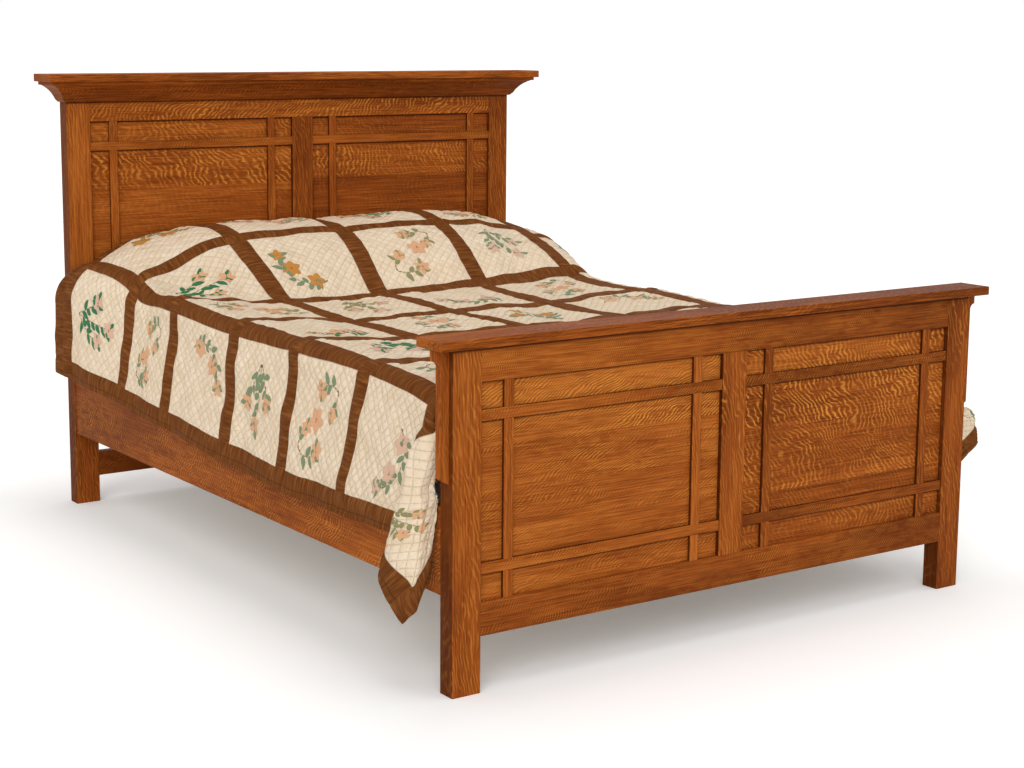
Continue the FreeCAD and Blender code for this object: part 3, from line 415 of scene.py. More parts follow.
PITCH = 0.355          # from one sash to the next
SASH = 0.058           # width of the brown sashing
SIDE_BORDER = 0.050    # width of the border along the sides
END_BORDER = 0.115     # width of the border at the head
FOOT_BORDER = 0.055    # width of the border at the foot
HALF_WIDE = 3 * PITCH - SASH / 2 + SIDE_BORDER      # half the cut width
FIRST_ROW = END_BORDER + PITCH - SASH / 2           # first cross sash, from the head edge
LONG = FIRST_ROW + 6 * PITCH - SASH / 2 + FOOT_BORDER   # cut length
HATCH = 0.030          # between quilting lines, measured along the cloth's edges
EDGE_ROLL = 0.012      # width of the rolled edge
STITCH = 0.0048        # a quilting stitch and the gap after it
STITCH_LINE = 0.0014   # half the width of a line of stitches
CREAM, BROWN = paint(248, 228, 201), paint(112, 64, 28)


def quilt_cotton(name):
    """Pieced cotton: cream blocks between satin sashing, diagonal quilting lines and a soft weave.

    A point is sashing where its distance to the nearest line of the block grid is under half a sash, or where
    it lies in the border; the quilting lines are two sets of slanted lines at one spacing.
    """
    f = Finish(name, Roughness=0.8, Specular_IOR_Level=0.03)
    flat = f.flat()
    wander = f.add("TexNoise", {"Vector": flat, "Scale": 9.0, "Detail": 2.0}, output=1)
    swing = f.add("VectorMath", {0: wander, 1: (0.5, 0.5, 0.5)}, operation="SUBTRACT")
    soft = f.add("VectorMath", {0: swing, 1: (0.004, 0.004, 0)}, operation="MULTIPLY")
    s, t, _ = f.axes(f.add("VectorMath", {0: flat, 1: soft}, operation="ADD"))

    def to_line(value, start, pitch):
        turn = f.math("FRACT", f.plus(f.math("DIVIDE", f.minus(value, start), pitch), 0.5))
        return f.times(f.math("ABSOLUTE", f.minus(turn, 0.5)), pitch)

    def under(value, limit, blur=0.0012):
        return f.add("MapRange", {0: value, 1: limit - blur, 2: limit + blur, 3: 1.0, 4: 0.0})

    from_middle = f.math("ABSOLUTE", s)
    inside_s = under(from_middle, HALF_WIDE - SIDE_BORDER)
    inside_t = f.times(under(t, LONG - FOOT_BORDER), f.minus(1.0, under(t, END_BORDER)))
    on_s, on_t = (under(to_line(*grid, PITCH), SASH / 2) for grid in ((s, 0.0), (t, FIRST_ROW)))
    border = f.minus(1.0, f.times(inside_s, inside_t))
    brown = f.math("MAXIMUM", f.math("MAXIMUM", on_s, on_t), border)
    # cream: a little uneven, darker in the quilting lines
    cream = f.ramp(f.noise(flat, 16.0, 3, 0.6), (0.3, paint(238, 214, 182)), (0.7, CREAM))
    hatch = f.math("MINIMUM", *(to_line(slant, 0.0, HATCH) for slant in (f.plus(s, t), f.minus(s, t))))
    stitch = under(hatch, STITCH_LINE)
    dash = f.math("FRACT", f.math("DIVIDE", f.plus(s, f.times(t, 0.3)), STITCH))
    dash = f.ramp(dash, (0.35, 1.0), (0.45, 0.0))
    cream = f.mix(f.times(stitch, 0.16), cream, paint(186, 160, 128))
    # satin: gather ripples run across each sash, raised by the bump and painted with lighter sheen and darker
    # shade
    along_t, along_s = (f.noise(f.add("CombineXYZ", {0: f.times(s, a), 1: f.times(t, b)}), 1.0, 3, 0.6, 0.3)
                        for a, b in ((14.0, 130.0), (130.0, 14.0)))
    crosswise = f.math("MAXIMUM", f.times(on_t, inside_s), f.minus(1.0, inside_t))
    painted_shading = f.add("Mix", {0: crosswise, 2: along_t, 3: along_s})
    satin = f.ramp(painted_shading, (0.34, paint(96, 51, 20)), (0.5, BROWN), (0.68, paint(140, 86, 42)))
    edge_seam = under(f.math("ABSOLUTE", f.minus(from_middle, HALF_WIDE - EDGE_ROLL)), STITCH_LINE)
    satin = f.mix(f.times(edge_seam, 0.6), satin, paint(70, 36, 14))
    f.give("Base Color", f.mix(brown, cream, satin))
    f.give("Roughness", f.minus(0.85, f.times(brown, 0.2)))
    crinkle = f.noise(flat, 55.0, 3, 0.6, 0.5)
    swell = f.math("POWER", f.math("DIVIDE", hatch, HATCH / 2), 0.5)
    cushioned = f.plus(f.times(swell, 1.3), f.times(crinkle, 3.0))
    fine = f.minus(f.times(f.weave(flat, 260.0), 0.12), f.times(f.times(stitch, dash), 0.5))
    f.bump(f.add("Mix", {0: brown, 2: f.plus(cushioned, fine), 3: f.times(painted_shading, 1.7)}), 0.8, 0.0026)
    return f.material


def thread(name):
    """Embroidery floss: each stitch's own thread colour, with fine satin-stitch lines across its length."""
    f = Finish(name, Roughness=0.6, Specular_IOR_Level=0.15)
    lines = f.lines(f.flat(), 260.0, "X", 0.6)
    colour = f.add("Attribute", attribute_name="thread")
    f.give("Base Color", f.mix(f.times(lines, 0.22), colour, paint(90, 68, 46)))
    f.bump(lines, 0.3, 0.0004)
    return f.material


# The quilt as it lies on the bed

MIDDLE_Z = 0.664       # top of the quilt over the middle of the mattress
FOOT_Y, HEAD_Y = -0.9905, 1.0365   # where the cloth hangs at the ends
TUCK_Z = 0.4735        # height at which the foot end is tucked in under the mattress
# Flat place and place on the bed where a shoulder starts, and its radius along the bed and beside the pillows
LEFT_EDGE = (0.690, 0.766, 0.040, 0.103)
RIGHT_EDGE = (0.742, 0.757, 0.043, 0.104)
OPENING = (0.42, 1.00)   # places along the bed between which the shoulders open
FOOT_ROUND, HEAD_ROUND = 0.014, 0.028   # radius of the turn down at the ends
# Cross sashes on the flat cloth, from the head edge to the foot edge
ROWS = (0, *(FIRST_ROW + k * PITCH for k in range(6)), LONG)
# Where each lengthwise sash meets the cross sashes: the flat place, then places along the bed, counted on
# past the ends where the cloth turns down
SEAMS_ALONG = (
    (-HALF_WIDE, (1.034, 0.612, 0.345, -0.018, -0.330, -0.630, -0.920, -1.220)),
    (-0.749, (1.034, 0.600, 0.340, -0.028, -0.352, -0.675, -0.980, -1.385)),
    (-0.710, (1.040, 0.632, 0.372, -0.014, -0.346, -0.678, -0.985, -1.385)),
    (-0.671, (1.070, 0.665, 0.405, 0.014, -0.330, -0.676, -0.985, -1.385)),
    (-0.355, (1.165, 0.764, 0.518, 0.131, -0.226, -0.612, -0.985, -1.385)),
    (0.000, (1.175, 0.796, 0.520, 0.108, -0.250, -0.620, -0.985, -1.385)),
    (0.355, (1.165, 0.793, 0.538, 0.110, -0.240, -0.612, -0.985, -1.385)),
    (0.710, (1.070, 0.790, 0.570, 0.180, -0.198, -0.592, -0.985, -1.385)),
    (0.810, (1.036, 0.780, 0.560, 0.175, -0.200, -0.592, -0.985, -1.385)),
    (HALF_WIDE, (1.034, 0.760, 0.520, 0.150, -0.220, -0.590, -0.930, -1.250)),
)
# Where the sashes lie across the bed, at the same crossings
SEAMS_ACROSS = (
    (-0.690, (-0.766,) * 8),
    (-0.355, (-0.395, -0.400, -0.356, -0.362, -0.374, -0.374, -0.370, -0.370)),
    (0.000, (-0.010, -0.008, -0.016, -0.040, -0.036, -0.030, -0.025, -0.025)),
    (0.355, (0.360, 0.361, 0.368, 0.315, 0.320, 0.325, 0.330, 0.330)),
    (0.710, (0.690, 0.690, 0.734, 0.724, 0.714, 0.720, 0.727, 0.727)),
    (0.742, (0.757,) * 8),
)
# Height of the hem along both sides, at places along the bed
HEM = ((-0.98, -0.85, -0.43, 0.01, 0.38, 0.80, 1.04), (0.345, 0.344, 0.334, 0.352, 0.378, 0.416, 0.430))
# Rise over the pillows along the bed, over the end of the right pillow, and their shares across the bed
PILLOW_RISE = ((0.500, 0.545, 0.60, 0.67, 0.74, 0.81, 0.90, 0.98, 1.043),
               (0.0, 0.008, 0.050, 0.113, 0.160, 0.186, 0.200, 0.197, 0.188))
PILLOW_RISE_END = ((0.40, 0.46, 0.52, 0.632, 0.767, 0.886, 1.043),
                   (0.0, 0.018, 0.050, 0.120, 0.170, 0.197, 0.200))
PILLOW_SHARE = ((-0.86, -0.80, -0.745, -0.67, -0.58, -0.47, -0.35, -0.05, 0.0, 0.05, 0.35, 0.50, 0.60, 0.68,
                 0.745, 0.80, 0.86),
                (0.26, 0.37, 0.53, 0.72, 0.86, 0.95, 0.99, 1.0, 0.975, 1.0, 1.0, 0.97, 0.90, 0.82,
                 0.70, 0.60, 0.45))
# Height of the crest along the left edge, at places along the bed, and of the swell inside it, across the bed
LEFT_CREST = ((-1.0, -0.86, -0.6, 0.0, 0.30, 0.42, 0.60, 0.80, 1.04),
              (0.0, 0.024, 0.040, 0.036, 0.050, 0.054, 0.044, 0.012, 0.0))
CREST_X, CREST_WIDE = -0.755, 0.085   # middle line and breadth of the crest
LEFT_SWELL = ((-0.80, -0.72, -0.645, -0.57, -0.48, -0.385), (0.0, 0.006, 0.022, 0.023, 0.010, 0.0))
DIP, DIP_X, DIP_WIDE = 0.004, 0.74, 0.1   # depth, middle line and breadth of the dip along the right edge


def top_height(x, y):
    """Height of the quilt's top: a level middle, raised along the left edge and over the pillows."""
    rise = smooth_through(*PILLOW_RISE, y)
    rise = rise + (smooth_through(*PILLOW_RISE_END, y) - rise) * ease(0.735, 0.80, x)
    rise = rise * smooth_through(*PILLOW_SHARE, x)
    left = smooth_through(*LEFT_CREST, y) * np.exp(-((x - CREST_X) / CREST_WIDE) ** 2)
    left = left + smooth_through(*LEFT_SWELL, x) * ease(-1.0, -0.75, y) * ease(0.66, 0.50, y)
    right = -DIP * np.exp(-((x - DIP_X) / DIP_WIDE) ** 2)
    return MIDDLE_Z + rise + left + right


def net(table, s, t):
    """Values at the seam crossings carried over the whole cloth: curves along it, then curves across it."""
    along = np.stack([smooth_through(ROWS, row, t) for _, row in table])
    return smooth_through([place for place, _ in table], along, s)


def quilt_form(s, t):
    """Places of the cloth's points on the bed for a grid of flat places s across and t along.

    On top, a point lies where the seam net says, at the top's height. Past an edge it follows a quarter
    circle. With the places comes what the drops need: the side of the bed, the length that hangs there and
    the length that may, and how far the cloth goes down at the foot and at the head.
    """
    across, along = net(SEAMS_ACROSS, s, t), net(SEAMS_ALONG, s, t)
    S, T = np.meshgrid(s, t, indexing="ij")
    side = np.where(S < 0, -1.0, 1.0)
    flat0, x0, narrow, wide = (np.where(S < 0, a, b) for a, b in zip(LEFT_EDGE, RIGHT_EDGE))
    bend = narrow + (wide - narrow) * ease(*OPENING, along)
    over = np.maximum(np.abs(S) - flat0, 0)
    turn = np.minimum(over / bend, math.pi / 2)
    hang = np.maximum(over - bend * math.pi / 2, 0)
    # ends of the bed: y stops at the foot and the head, and the rest of the length turns down
    past_foot = np.maximum(FOOT_Y + FOOT_ROUND - along, 0)
    past_head = np.maximum(along - (HEAD_Y - HEAD_ROUND), 0)
    ends = ((past_foot, FOOT_ROUND), (past_head, HEAD_ROUND))
    foot_turn, head_turn = turns = [np.minimum(past / r, math.pi / 2) for past, r in ends]
    foot_drop, head_drop = (r * (1 - np.cos(turned)) + np.maximum(past - r * math.pi / 2, 0)
                            for turned, (past, r) in zip(turns, ends))
    y = np.clip(along, FOOT_Y + FOOT_ROUND, HEAD_Y - HEAD_ROUND)
    y = y - FOOT_ROUND * np.sin(foot_turn) + HEAD_ROUND * np.sin(head_turn)
    x = np.where(over > 0, side * (x0 + bend * np.sin(turn)), across)
    z = top_height(np.where(over > 0, side * x0, across), y) - bend * (1 - np.cos(turn))
    room = HALF_WIDE - flat0 - bend * math.pi / 2
    return S, T, x, y, z, side, hang, room, foot_drop, head_drop


# Flat places of the quilt's points, across and along
quilt_s, quilt_t = np.linspace(-HALF_WIDE, HALF_WIDE, 285), np.linspace(0, LONG, 331)


def side_folds(y):
    """Upright folds of the side drops: three waves along the bed."""
    return (0.55 * np.sin(2 * math.pi * y / 0.355 + 0.6) + 0.35 * np.sin(2 * math.pi * y / 0.203 + 2.0)
            + 0.25 * np.sin(2 * math.pi * y / 0.127 + 4.1))


def quilt_base():
    """The quilt's middle surface: the form on top, the side drops, the tucked foot and the corner ears."""
    S, T, x, y, z, side, hang, room, foot_drop, head_drop = quilt_form(quilt_s, quilt_t)
    share = hang / room
    drop = share * np.maximum(z - smooth_through(*HEM, y), 0.02)
    flare = (0.040 - 0.033 * ease(*OPENING, y)) * share ** 1.15 + 0.005 * share * side_folds(y)
    hanging = hang > 0
    x = np.where(hanging, x + side * flare, x)
    z = np.where(hanging, z - drop, z)
    z = z - np.where(hanging, 0, foot_drop) - np.where(hanging, 0, head_drop)
    # foot: down to the mattress's lower edge, then tucked in under it
    lower = ~hanging & (foot_drop > 0) & (z < TUCK_Z)
    y = np.where(lower, y + (TUCK_Z - z), y)
    z = np.where(lower, TUCK_Z, z)
    far, angle = round_corner(T, hang)
    hidden = hanging & (angle > CUT) & (far > WHOLE)
    return S, T, ear(np.stack([x, y, z], 2), T, side, hang), hidden


EAR_START = FIRST_ROW + 5 * PITCH - 0.026   # flat place along the cloth where the corner wedge starts
# Degrees round the corner: inner fold, outer fold, turn behind, and where the hidden rest is cut away
PLEAT, FOLD, TURN, CUT = 18.0, 36.0, 64.0, 82.0
WHOLE = 0.05          # distance from the corner up to which nothing is cut away
RIGHT_STAND = 0.070   # how much further the right ear stands out from the side
EAR_X, EAR_Y, EAR_Z = 0.806, -0.973, 0.650   # the place on the bed from which an ear hangs
EAR_CLEAR_Y = -0.9915   # an ear stays on this side of the footboard until it is below the cap


def round_corner(T, hang):
    """Distance from the bed's corner on the flat cloth, and the angle round it from side to foot."""
    beyond = np.maximum(T - EAR_START, 0)
    return np.hypot(hang, beyond), np.degrees(np.arctan2(beyond, np.maximum(hang, 1e-9)))


def ear(points, T, side, hang):
    """The corner of the cloth that hangs beside each foot post, folded once back over the side.

    Round the corner, a flat place has a distance and an angle. The distance runs down the side at a lean that
    swings with the angle: towards the foot to the inner fold, back towards the head to the outer fold, and
    towards the foot again over the part that shows, which bulges out and then turns in beside the post. The
    loose corner below curls towards the head, and on the right side it stands out from the bed instead. Near
    the bed's corner the cloth has no folds yet.
    """
    far, angle = round_corner(T, hang)
    right = np.where(side > 0, 1.0, 0.0)
    lean = smooth_through((0, PLEAT, FOLD, 51, TURN, 90), (8.0, -4.0, 0.0, -15.0, -22.0, -22.0), angle)
    lean = np.radians(lean) * (ease(0.08, 0.22, far) + (1 - ease(0.08, 0.22, far)) * ease(45, TURN, angle))
    aside = 0.045 * (1 - right) * ease(0, 0.12, far) * ease(60, FOLD, angle)
    loose = ease(10, 30, angle) * ease(62, 52, angle)
    curl = (1 - right) * loose * (0.05 * ease(0.20, 0.45, far) + 0.055 * ease(0.42, 0.52, far))
    short = smooth_through((0, FOLD, 51, 90), (0.084, 0.035, 0.085, 0.10), angle)
    short = short + 0.2 * right * ease(8, 30, angle)
    reach = far * (1 - short * ease(0.1, 0.3, far)) + 0.02 * loose * ease(0.44, 0.53, far)
    layer = smooth_through((0, 6, PLEAT, 26, FOLD, 43, 51, 58, TURN, 90),
                           (0, 0.002, 0.010, 0.018, 0.030, 0.034, 0.018, 0.004, 0, 0), angle)
    layer = layer * (0.45 * ease(0.02, 0.12, far) + 0.55 * ease(0.10, 0.26, far))
    layer = layer - 0.021 * ease(50, 66, angle) * ease(0.02, 0.08, far)
    stand = RIGHT_STAND * right * ease(0.14, 0.30, far) * ease(0.54, 0.40, far)
    stand = stand * ease(14, 38, angle) * ease(TURN, 50, angle)
    x = np.maximum(EAR_X + 0.12 * reach + layer + stand, 0.800 + 0.013 * ease(0.16, 0.22, far))
    clear = EAR_CLEAR_Y - 0.020 * ease(0.185, 0.225, reach)
    y = np.maximum(EAR_Y + aside + curl + reach * np.sin(lean), clear)
    bent = np.stack([side * x, y, EAR_Z - reach * np.cos(lean)], 2)
    share = (ease(0, 0.05, T - EAR_START) * (hang > 0))[..., None]
    return points * (1 - share) + bent * share


PUFF, SASH_PUFF, SEAM = 0.0030, 0.0035, 0.0012   # height of the stuffing in blocks and sashes, depth of seams
WAVE = 0.0035                                    # height of the cloth's shallow waves
BACKING, EDGE_CORD = 0.004, 0.0042               # depth of the backing, radius of the rolled edge


def from_line(value, start, pitch):
    """Distance to the nearest of evenly spaced lines."""
    turn = (value - start) / pitch
    return np.abs(turn - np.round(turn)) * pitch


def quilt_relief(S, T):
    """Height of the stuffing over the middle surface: puffs between quilting lines, seams drawn down."""
    hatch = np.minimum(from_line(S + T, 0, 2 * HATCH), from_line(S - T, 0, 2 * HATCH))
    puff = PUFF * (1 - np.exp(-(hatch / 0.009) ** 2))
    from_s, from_t = (from_line(*grid, PITCH) - SASH / 2 for grid in ((S, 0), (T, FIRST_ROW)))
    seam = np.minimum(np.abs(from_s), np.abs(from_t))
    border = (np.abs(S) > HALF_WIDE - SIDE_BORDER) | (T < END_BORDER) | (T > LONG - FOOT_BORDER)
    sash = (from_s < 0) | (from_t < 0) | border
    drawn = np.exp(-(seam / 0.007) ** 2)
    relief = np.where(sash, SASH_PUFF, puff) * (1 - 0.8 * drawn) - SEAM * drawn
    return np.maximum(relief + 0.0013 * ripples(3, S, T, 0.16, 0.72), -0.0015)


def kept_faces(hidden):
    """Faces of a grid, without those that have a hidden corner."""
    faces = quads(*hidden.shape)
    return faces[~hidden.ravel()[faces].any(1)]


def quilt():
    """The quilt: pieced top with its stuffing, plain backing, rolled edge and embroidery."""
    S, T, base, hidden = quilt_base()
    # the cloth lies in shallow waves that die out towards its ends
    calm = ease(2.24, 2.10, T) * ease(0.10, 0.25, T)
    wave = WAVE * ripples(11, S, T, 0.62, 0.68) * calm
    base = base - normals(base) * wave[..., None]
    up = -normals(base)
    face, back = base + up * quilt_relief(S, T)[..., None], base - BACKING * up
    flat = np.stack([S, T], 2)
    cotton, plain = quilt_cotton("pieced_cotton"), plain_cotton("backing_cotton")
    top = piece("quilt_top", face, kept_faces(hidden)[:, ::-1], cotton, "bedding", flat)
    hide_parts("quilt")
    backing = piece("quilt_backing", back[::2, ::2], kept_faces(hidden[::2, ::2]), plain,
                    "bedding")
    # the rolled edge runs from the left ear round the left hem, the head and the right hem to the right ear
    rim = np.concatenate([0.5 * (face + back), up, flat], 2)
    foot = rim[~hidden[:, -1], -1]
    middle = np.argmax(np.diff(np.where(~hidden[:, -1])[0]) > 1)
    left, right = foot[:middle + 1], foot[::-1][:middle + 1]
    edge = np.concatenate([left[::-1], rim[0, -2::-1], rim[1:, 0], rim[-1, 1:], right[1:]])
    cord, cord_faces = tube(edge[:, :3], EDGE_CORD, closed=False, upright=edge[:, 3:6])
    binding = piece("quilt_binding", cord, cord_faces, cotton, "bedding",
                    np.repeat(edge[:, None, 6:], CORD_SIDES, 1))
    return top, backing, binding, embroidery(face, up)


# Threads: sage, deep green, olive, peach, pale rose, ochre, rust, brown
THREADS = np.array([paint(*colour) for colour in (
    (128, 146, 110), (44, 118, 76), (150, 146, 98), (230, 176, 134), (226, 186, 160), (204, 140, 62),
    (172, 92, 48), (118, 84, 56))])
GREENS, BLOOMS = [0, 0, 0, 1, 2], [3, 3, 4, 5]   # thread numbers that leaves and petals draw from
STEM, KNOT, BARK = 2, 6, 7                       # thread numbers of stems, flower middles and stem joints


class Sprig:
    """Stitches of one sprig on a block from -1 to 1, drawn with its own run of random numbers."""

    def __init__(self, seed):
        self.draw = np.random.default_rng(seed)
        self.green = int(self.draw.choice(GREENS))
        self.bloom = int(self.draw.choice(BLOOMS))
        self.stitches = []

    def stitch(self, x, y, heading, length, half_width, colour):
        self.stitches.append((x, y, heading, length, half_width, colour))

    def flower(self, x, y, size):
        """Five or six petals round a middle of three knots."""
        count = int(self.draw.integers(5, 7))
        turn = self.draw.uniform(0, 6)
        for k in range(count):
            self.stitch(x, y, turn + 2 * math.pi * k / count, size, 0.36 * size, self.bloom)
        for k in range(3):
            self.stitch(x, y, turn + 2.1 * k, 0.3 * size, 0.13 * size, KNOT)

    def branch(self, start, heading, length, bend, leaves, size):
        """A stem of short stitches along an arc, with leaves on either side and a flower at its tip."""
        count = max(int(length / 0.09), 3)
        x, y = start
        for k in range(count):
            way = heading + bend * (k / count - 0.3)
            step = length / count
            self.stitch(x, y, way, 0.95 * step, 0.014, BARK if k % 5 == 0 else STEM)
            x, y = x + step * math.cos(way), y + step * math.sin(way)
            if (k + 1) * leaves // count > k * leaves // count:
                side = 1 if k % 2 else -1
                leaf = way + side * self.draw.uniform(0.6, 1.1)
                self.stitch(x, y, leaf, self.draw.uniform(0.8, 1.2) * size, 0.26 * size, self.green)
        self.flower(x, y, 0.85 * size)

    def spray(self):
        """Three branches that fan out from one foot."""
        turn = math.pi / 2 * int(self.draw.integers(0, 4)) + self.draw.uniform(-0.3, 0.3)
        foot = (-0.7 * math.cos(turn), -0.7 * math.sin(turn))
        for fan, length in ((-0.55, 0.85), (0.0, 1.25), (0.5, 0.95)):
            self.branch(foot, turn + fan, length, self.draw.uniform(-0.8, 0.8), 7, 0.25)

    def garland(self):
        """An arc of leaves with three flowers along it."""
        turn = self.draw.uniform(0, 6)
        self.branch((0.62 * math.cos(turn), 0.62 * math.sin(turn)), turn + 2.2, 1.7, 2.6, 13, 0.23)
        for k in (0.5, 1.6):
            self.flower(0.6 * math.cos(turn + k), 0.6 * math.sin(turn + k), 0.24)

    def pair(self):
        """Two short branches in opposite corners, and a flower between them."""
        turn = math.pi / 4 + math.pi / 2 * int(self.draw.integers(0, 2))
        for end in (0, math.pi):
            foot = (0.85 * math.cos(turn + end), 0.85 * math.sin(turn + end))
            self.branch(foot, turn + end + math.pi + 0.9, 0.7, -1.4, 6, 0.25)
            self.branch(foot, turn + end + math.pi - 0.5, 0.5, 1.2, 4, 0.2)
        self.flower(self.draw.uniform(-0.15, 0.15), self.draw.uniform(-0.15, 0.15), 0.26)


def block_sprigs():
    """Stitches of every block on the flat cloth: place, heading, length, half width and thread number.

    The last row hangs at the foot, out of sight: there only the corner blocks, on the ears, have a sprig.
    """
    stitches = []
    half = 0.5 * (PITCH - SASH)
    for row in range(7):
        for column in range(6):
            scale, middle = 0.92 * half, ((column - 2.5) * PITCH, FIRST_ROW + (row - 0.5) * PITCH)
            if row == 6:
                if column not in (0, 5):
                    continue
                scale, middle = 0.5 * half, (math.copysign(0.95, column - 2.5), EAR_START + 0.205)
            sprig = Sprig(500 + 6 * row + column)
            (sprig.spray, sprig.garland, sprig.pair)[(2 * row + column) % 3]()
            drawn = np.array(sprig.stitches)
            drawn[:, :2] = drawn[:, :2] * scale + middle
            drawn[:, 3:5] *= scale
            stitches.append(drawn)
    return np.concatenate(stitches)


STITCH_POINTS = (7, 4)   # points of a stitch along and across it


def embroidery(face, up):
    """The sprigs, sewn on the cloth: each stitch is a lens of satin stitch, domed over the surface.

    Along a stitch, u runs from 0 to 1 and v from -1 to 1 across it. Its half width follows the sine of u, and
    its height the square root of 1 - v^2. A flat place is carried to the bed by its shares of the grid's
    cells.
    """
    rows, columns = STITCH_POINTS
    s, t, heading, length, half_width, colour = (column[:, None, None] for column in block_sprigs().T)
    u, v = np.linspace(0, 1, rows)[None, :, None], np.linspace(-1, 1, columns)[None, None, :]
    swell = 0.12 + 0.88 * np.sin(math.pi * u ** 0.85) ** 0.8
    across = half_width * v * swell
    flat_s = s + length * u * np.cos(heading) - across * np.sin(heading)
    flat_t = t + length * u * np.sin(heading) + across * np.cos(heading)
    a = np.clip((flat_s + HALF_WIDE) / (2 * HALF_WIDE) * (len(quilt_s) - 1), 0, len(quilt_s) - 1.001)
    b = np.clip(flat_t / LONG * (len(quilt_t) - 1), 0, len(quilt_t) - 1.001)
    i, j = a.astype(int), b.astype(int)
    f, g = (a - i)[..., None], (b - j)[..., None]

    def on_cloth(grid):
        return ((grid[i, j] * (1 - f) + grid[i + 1, j] * f) * (1 - g)
                + (grid[i, j + 1] * (1 - f) + grid[i + 1, j + 1] * f) * g)

    height = 0.0006 + 0.0011 * np.sqrt(1 - v ** 2) * swell * np.minimum(half_width / 0.006, 1)
    points = on_cloth(face) + on_cloth(up) * height[..., None]
    count = len(points)
    first = rows * columns * np.arange(count)[:, None, None]
    faces = (quads(rows, columns)[None, :, ::-1] + first).reshape(-1, 4)
    local = np.stack(np.broadcast_arrays(length * u, across), 3)
    tint = np.broadcast_to(THREADS[colour.astype(int)], (count, rows, columns, 4))
    return piece("quilt_embroidery", points, faces, thread("embroidery_thread"), "bedding",
                 local, tint)


quilt_top, *quilt_rest = quilt()


# Mattress, foundation and pillows

def rounded_path(half_x, half_y, corner, count):
    """Points round a rectangle with round corners."""
    turn = np.linspace(0, 2 * math.pi, count, endpoint=False) + math.pi / count
    quarter = np.floor(turn / (math.pi / 2))
    spread = (turn - quarter * math.pi / 2) / (math.pi / 2)
    # each quarter: a fifth of its points on either straight half, the rest round the corner
    bow = np.clip((spread - 0.2) / 0.6, 0, 1) * math.pi / 2 + quarter * math.pi / 2
    cx = np.sign(np.cos(quarter * math.pi / 2 + math.pi / 4)) * (half_x - corner)
    cy = np.sign(np.sin(quarter * math.pi / 2 + math.pi / 4)) * (half_y - corner)
    x, y = cx + corner * np.cos(bow), cy + corner * np.sin(bow)
    even = quarter % 2 == 0
    first, last = np.clip((0.2 - spread) / 0.2, 0, 1), np.clip((spread - 0.8) / 0.2, 0, 1)
    x = x * (1 - np.where(even, last, first))
    y = y * (1 - np.where(even, first, last))
    return np.stack([x, y], 1)


def stuffed(name, low, high, profile, finish, body, corner):
    """A closed padded form: level outlines from the middle of the base to the middle of the top.

    Each outline of the profile is a rounded rectangle, drawn in by a share of its half width and set at a
    share of the height.
    """
    centre, half = (low + high) / 2, (high - low) / 2
    path = rounded_path(half[0], half[1], corner, 96)
    inward, heights = np.asarray(profile, float).T
    shrink = inward[:, None] * half[0]
    x = path[None, :, 0] * (half[0] - shrink) / half[0]
    y = path[None, :, 1] * (half[1] - shrink) / half[1]
    z = low[2] + heights[:, None] * (high[2] - low[2]) + np.zeros_like(x)
    points = np.stack([centre[0] + x, centre[1] + y, z], 2)
    faces = quads(len(inward), len(path), False, True)[:, ::-1]
    return piece(name, points, faces, finish, body, closed=True)


def welt(name, low, high, share, finish, body, corner, radius):
    """A piping cord sewn round a padded form at a share of its height."""
    path = rounded_path((high[0] - low[0]) / 2, (high[1] - low[1]) / 2, corner, 192)
    centre, height = (low + high) / 2, low[2] + share * (high[2] - low[2])
    loop = np.stack([centre[0] + path[:, 0], centre[1] + path[:, 1], np.full(len(path), height)], 1)
    cord, faces = tube(loop, radius)
    piece(name, cord, faces, finish, body)


def soft_box(node, from_low, from_high):
    """A soft solid's lowest and highest corners, moved inwards."""
    low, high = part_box(node)
    return np.array(low) + from_low, np.array(high) - from_high


# Outlines of the mattress and the foundation from base to top: how far drawn in, and the height, as shares
MATTRESS_PROFILE = (
    (1.0, 0.004), (0.5, 0.004), (0.1, 0.004), (0.05, 0.0), (0.02, 0.02), (0.006, 0.05), (0.0, 0.09),
    (0.003, 0.14), (0.012, 0.2), (0.016, 0.35), (0.016, 0.65), (0.012, 0.78), (0.003, 0.84), (0.0, 0.88),
    (0.006, 0.92), (0.025, 0.945), (0.06, 0.94), (0.15, 0.92), (0.3, 0.91), (0.6, 0.905), (1.0, 0.905))
FOUNDATION_PROFILE = (
    (1.0, 0.0), (0.03, 0.0), (0.01, 0.01), (0.0, 0.05), (0.0, 0.5), (0.0, 0.94), (0.008, 0.985), (0.03, 1.0),
    (0.2, 0.99), (0.6, 0.985), (1.0, 0.985))


def mattress():
    """The mattress: striped ticking over its rolls, drawn-in sides and dished top, with two piping cords."""
    low, high = soft_box("mattress", (0.004, 0.004, 0.003), (0.004, 0.004, 0.004))
    cloth = ticking("mattress_ticking", paint(232, 228, 216), paint(96, 112, 138), width=0.045)
    pad = stuffed("mattress_pad", low, high, MATTRESS_PROFILE, cloth, "bedding", corner=0.09)
    cotton = plain_cotton("piping_cotton")
    inset = np.array([0.004, 0.004, 0])
    for place, share in (("lower", 0.17), ("upper", 0.81)):
        welt(f"mattress_welt_{place}", low + inset, high - inset, share, cotton, "bedding",
             corner=0.088, radius=0.004)
    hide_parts("mattress")


def foundation():
    """The box spring: plain ticking on straight sides, with a piping cord round its upper edge."""
    low, high = soft_box("foundation", (0.003, 0.003, 0), (0.003, 0.003, 0.002))
    cloth = ticking("foundation_ticking", paint(222, 216, 202), paint(150, 142, 128), width=0.06)
    pad = stuffed("box_spring", low, high, FOUNDATION_PROFILE, cloth, "frame", corner=0.05)
    welt("box_spring_welt", low, high, 0.93, bpy.data.materials["piping_cotton"], "frame",
         corner=0.05, radius=0.003)
    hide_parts("foundation")


mattress()
foundation()

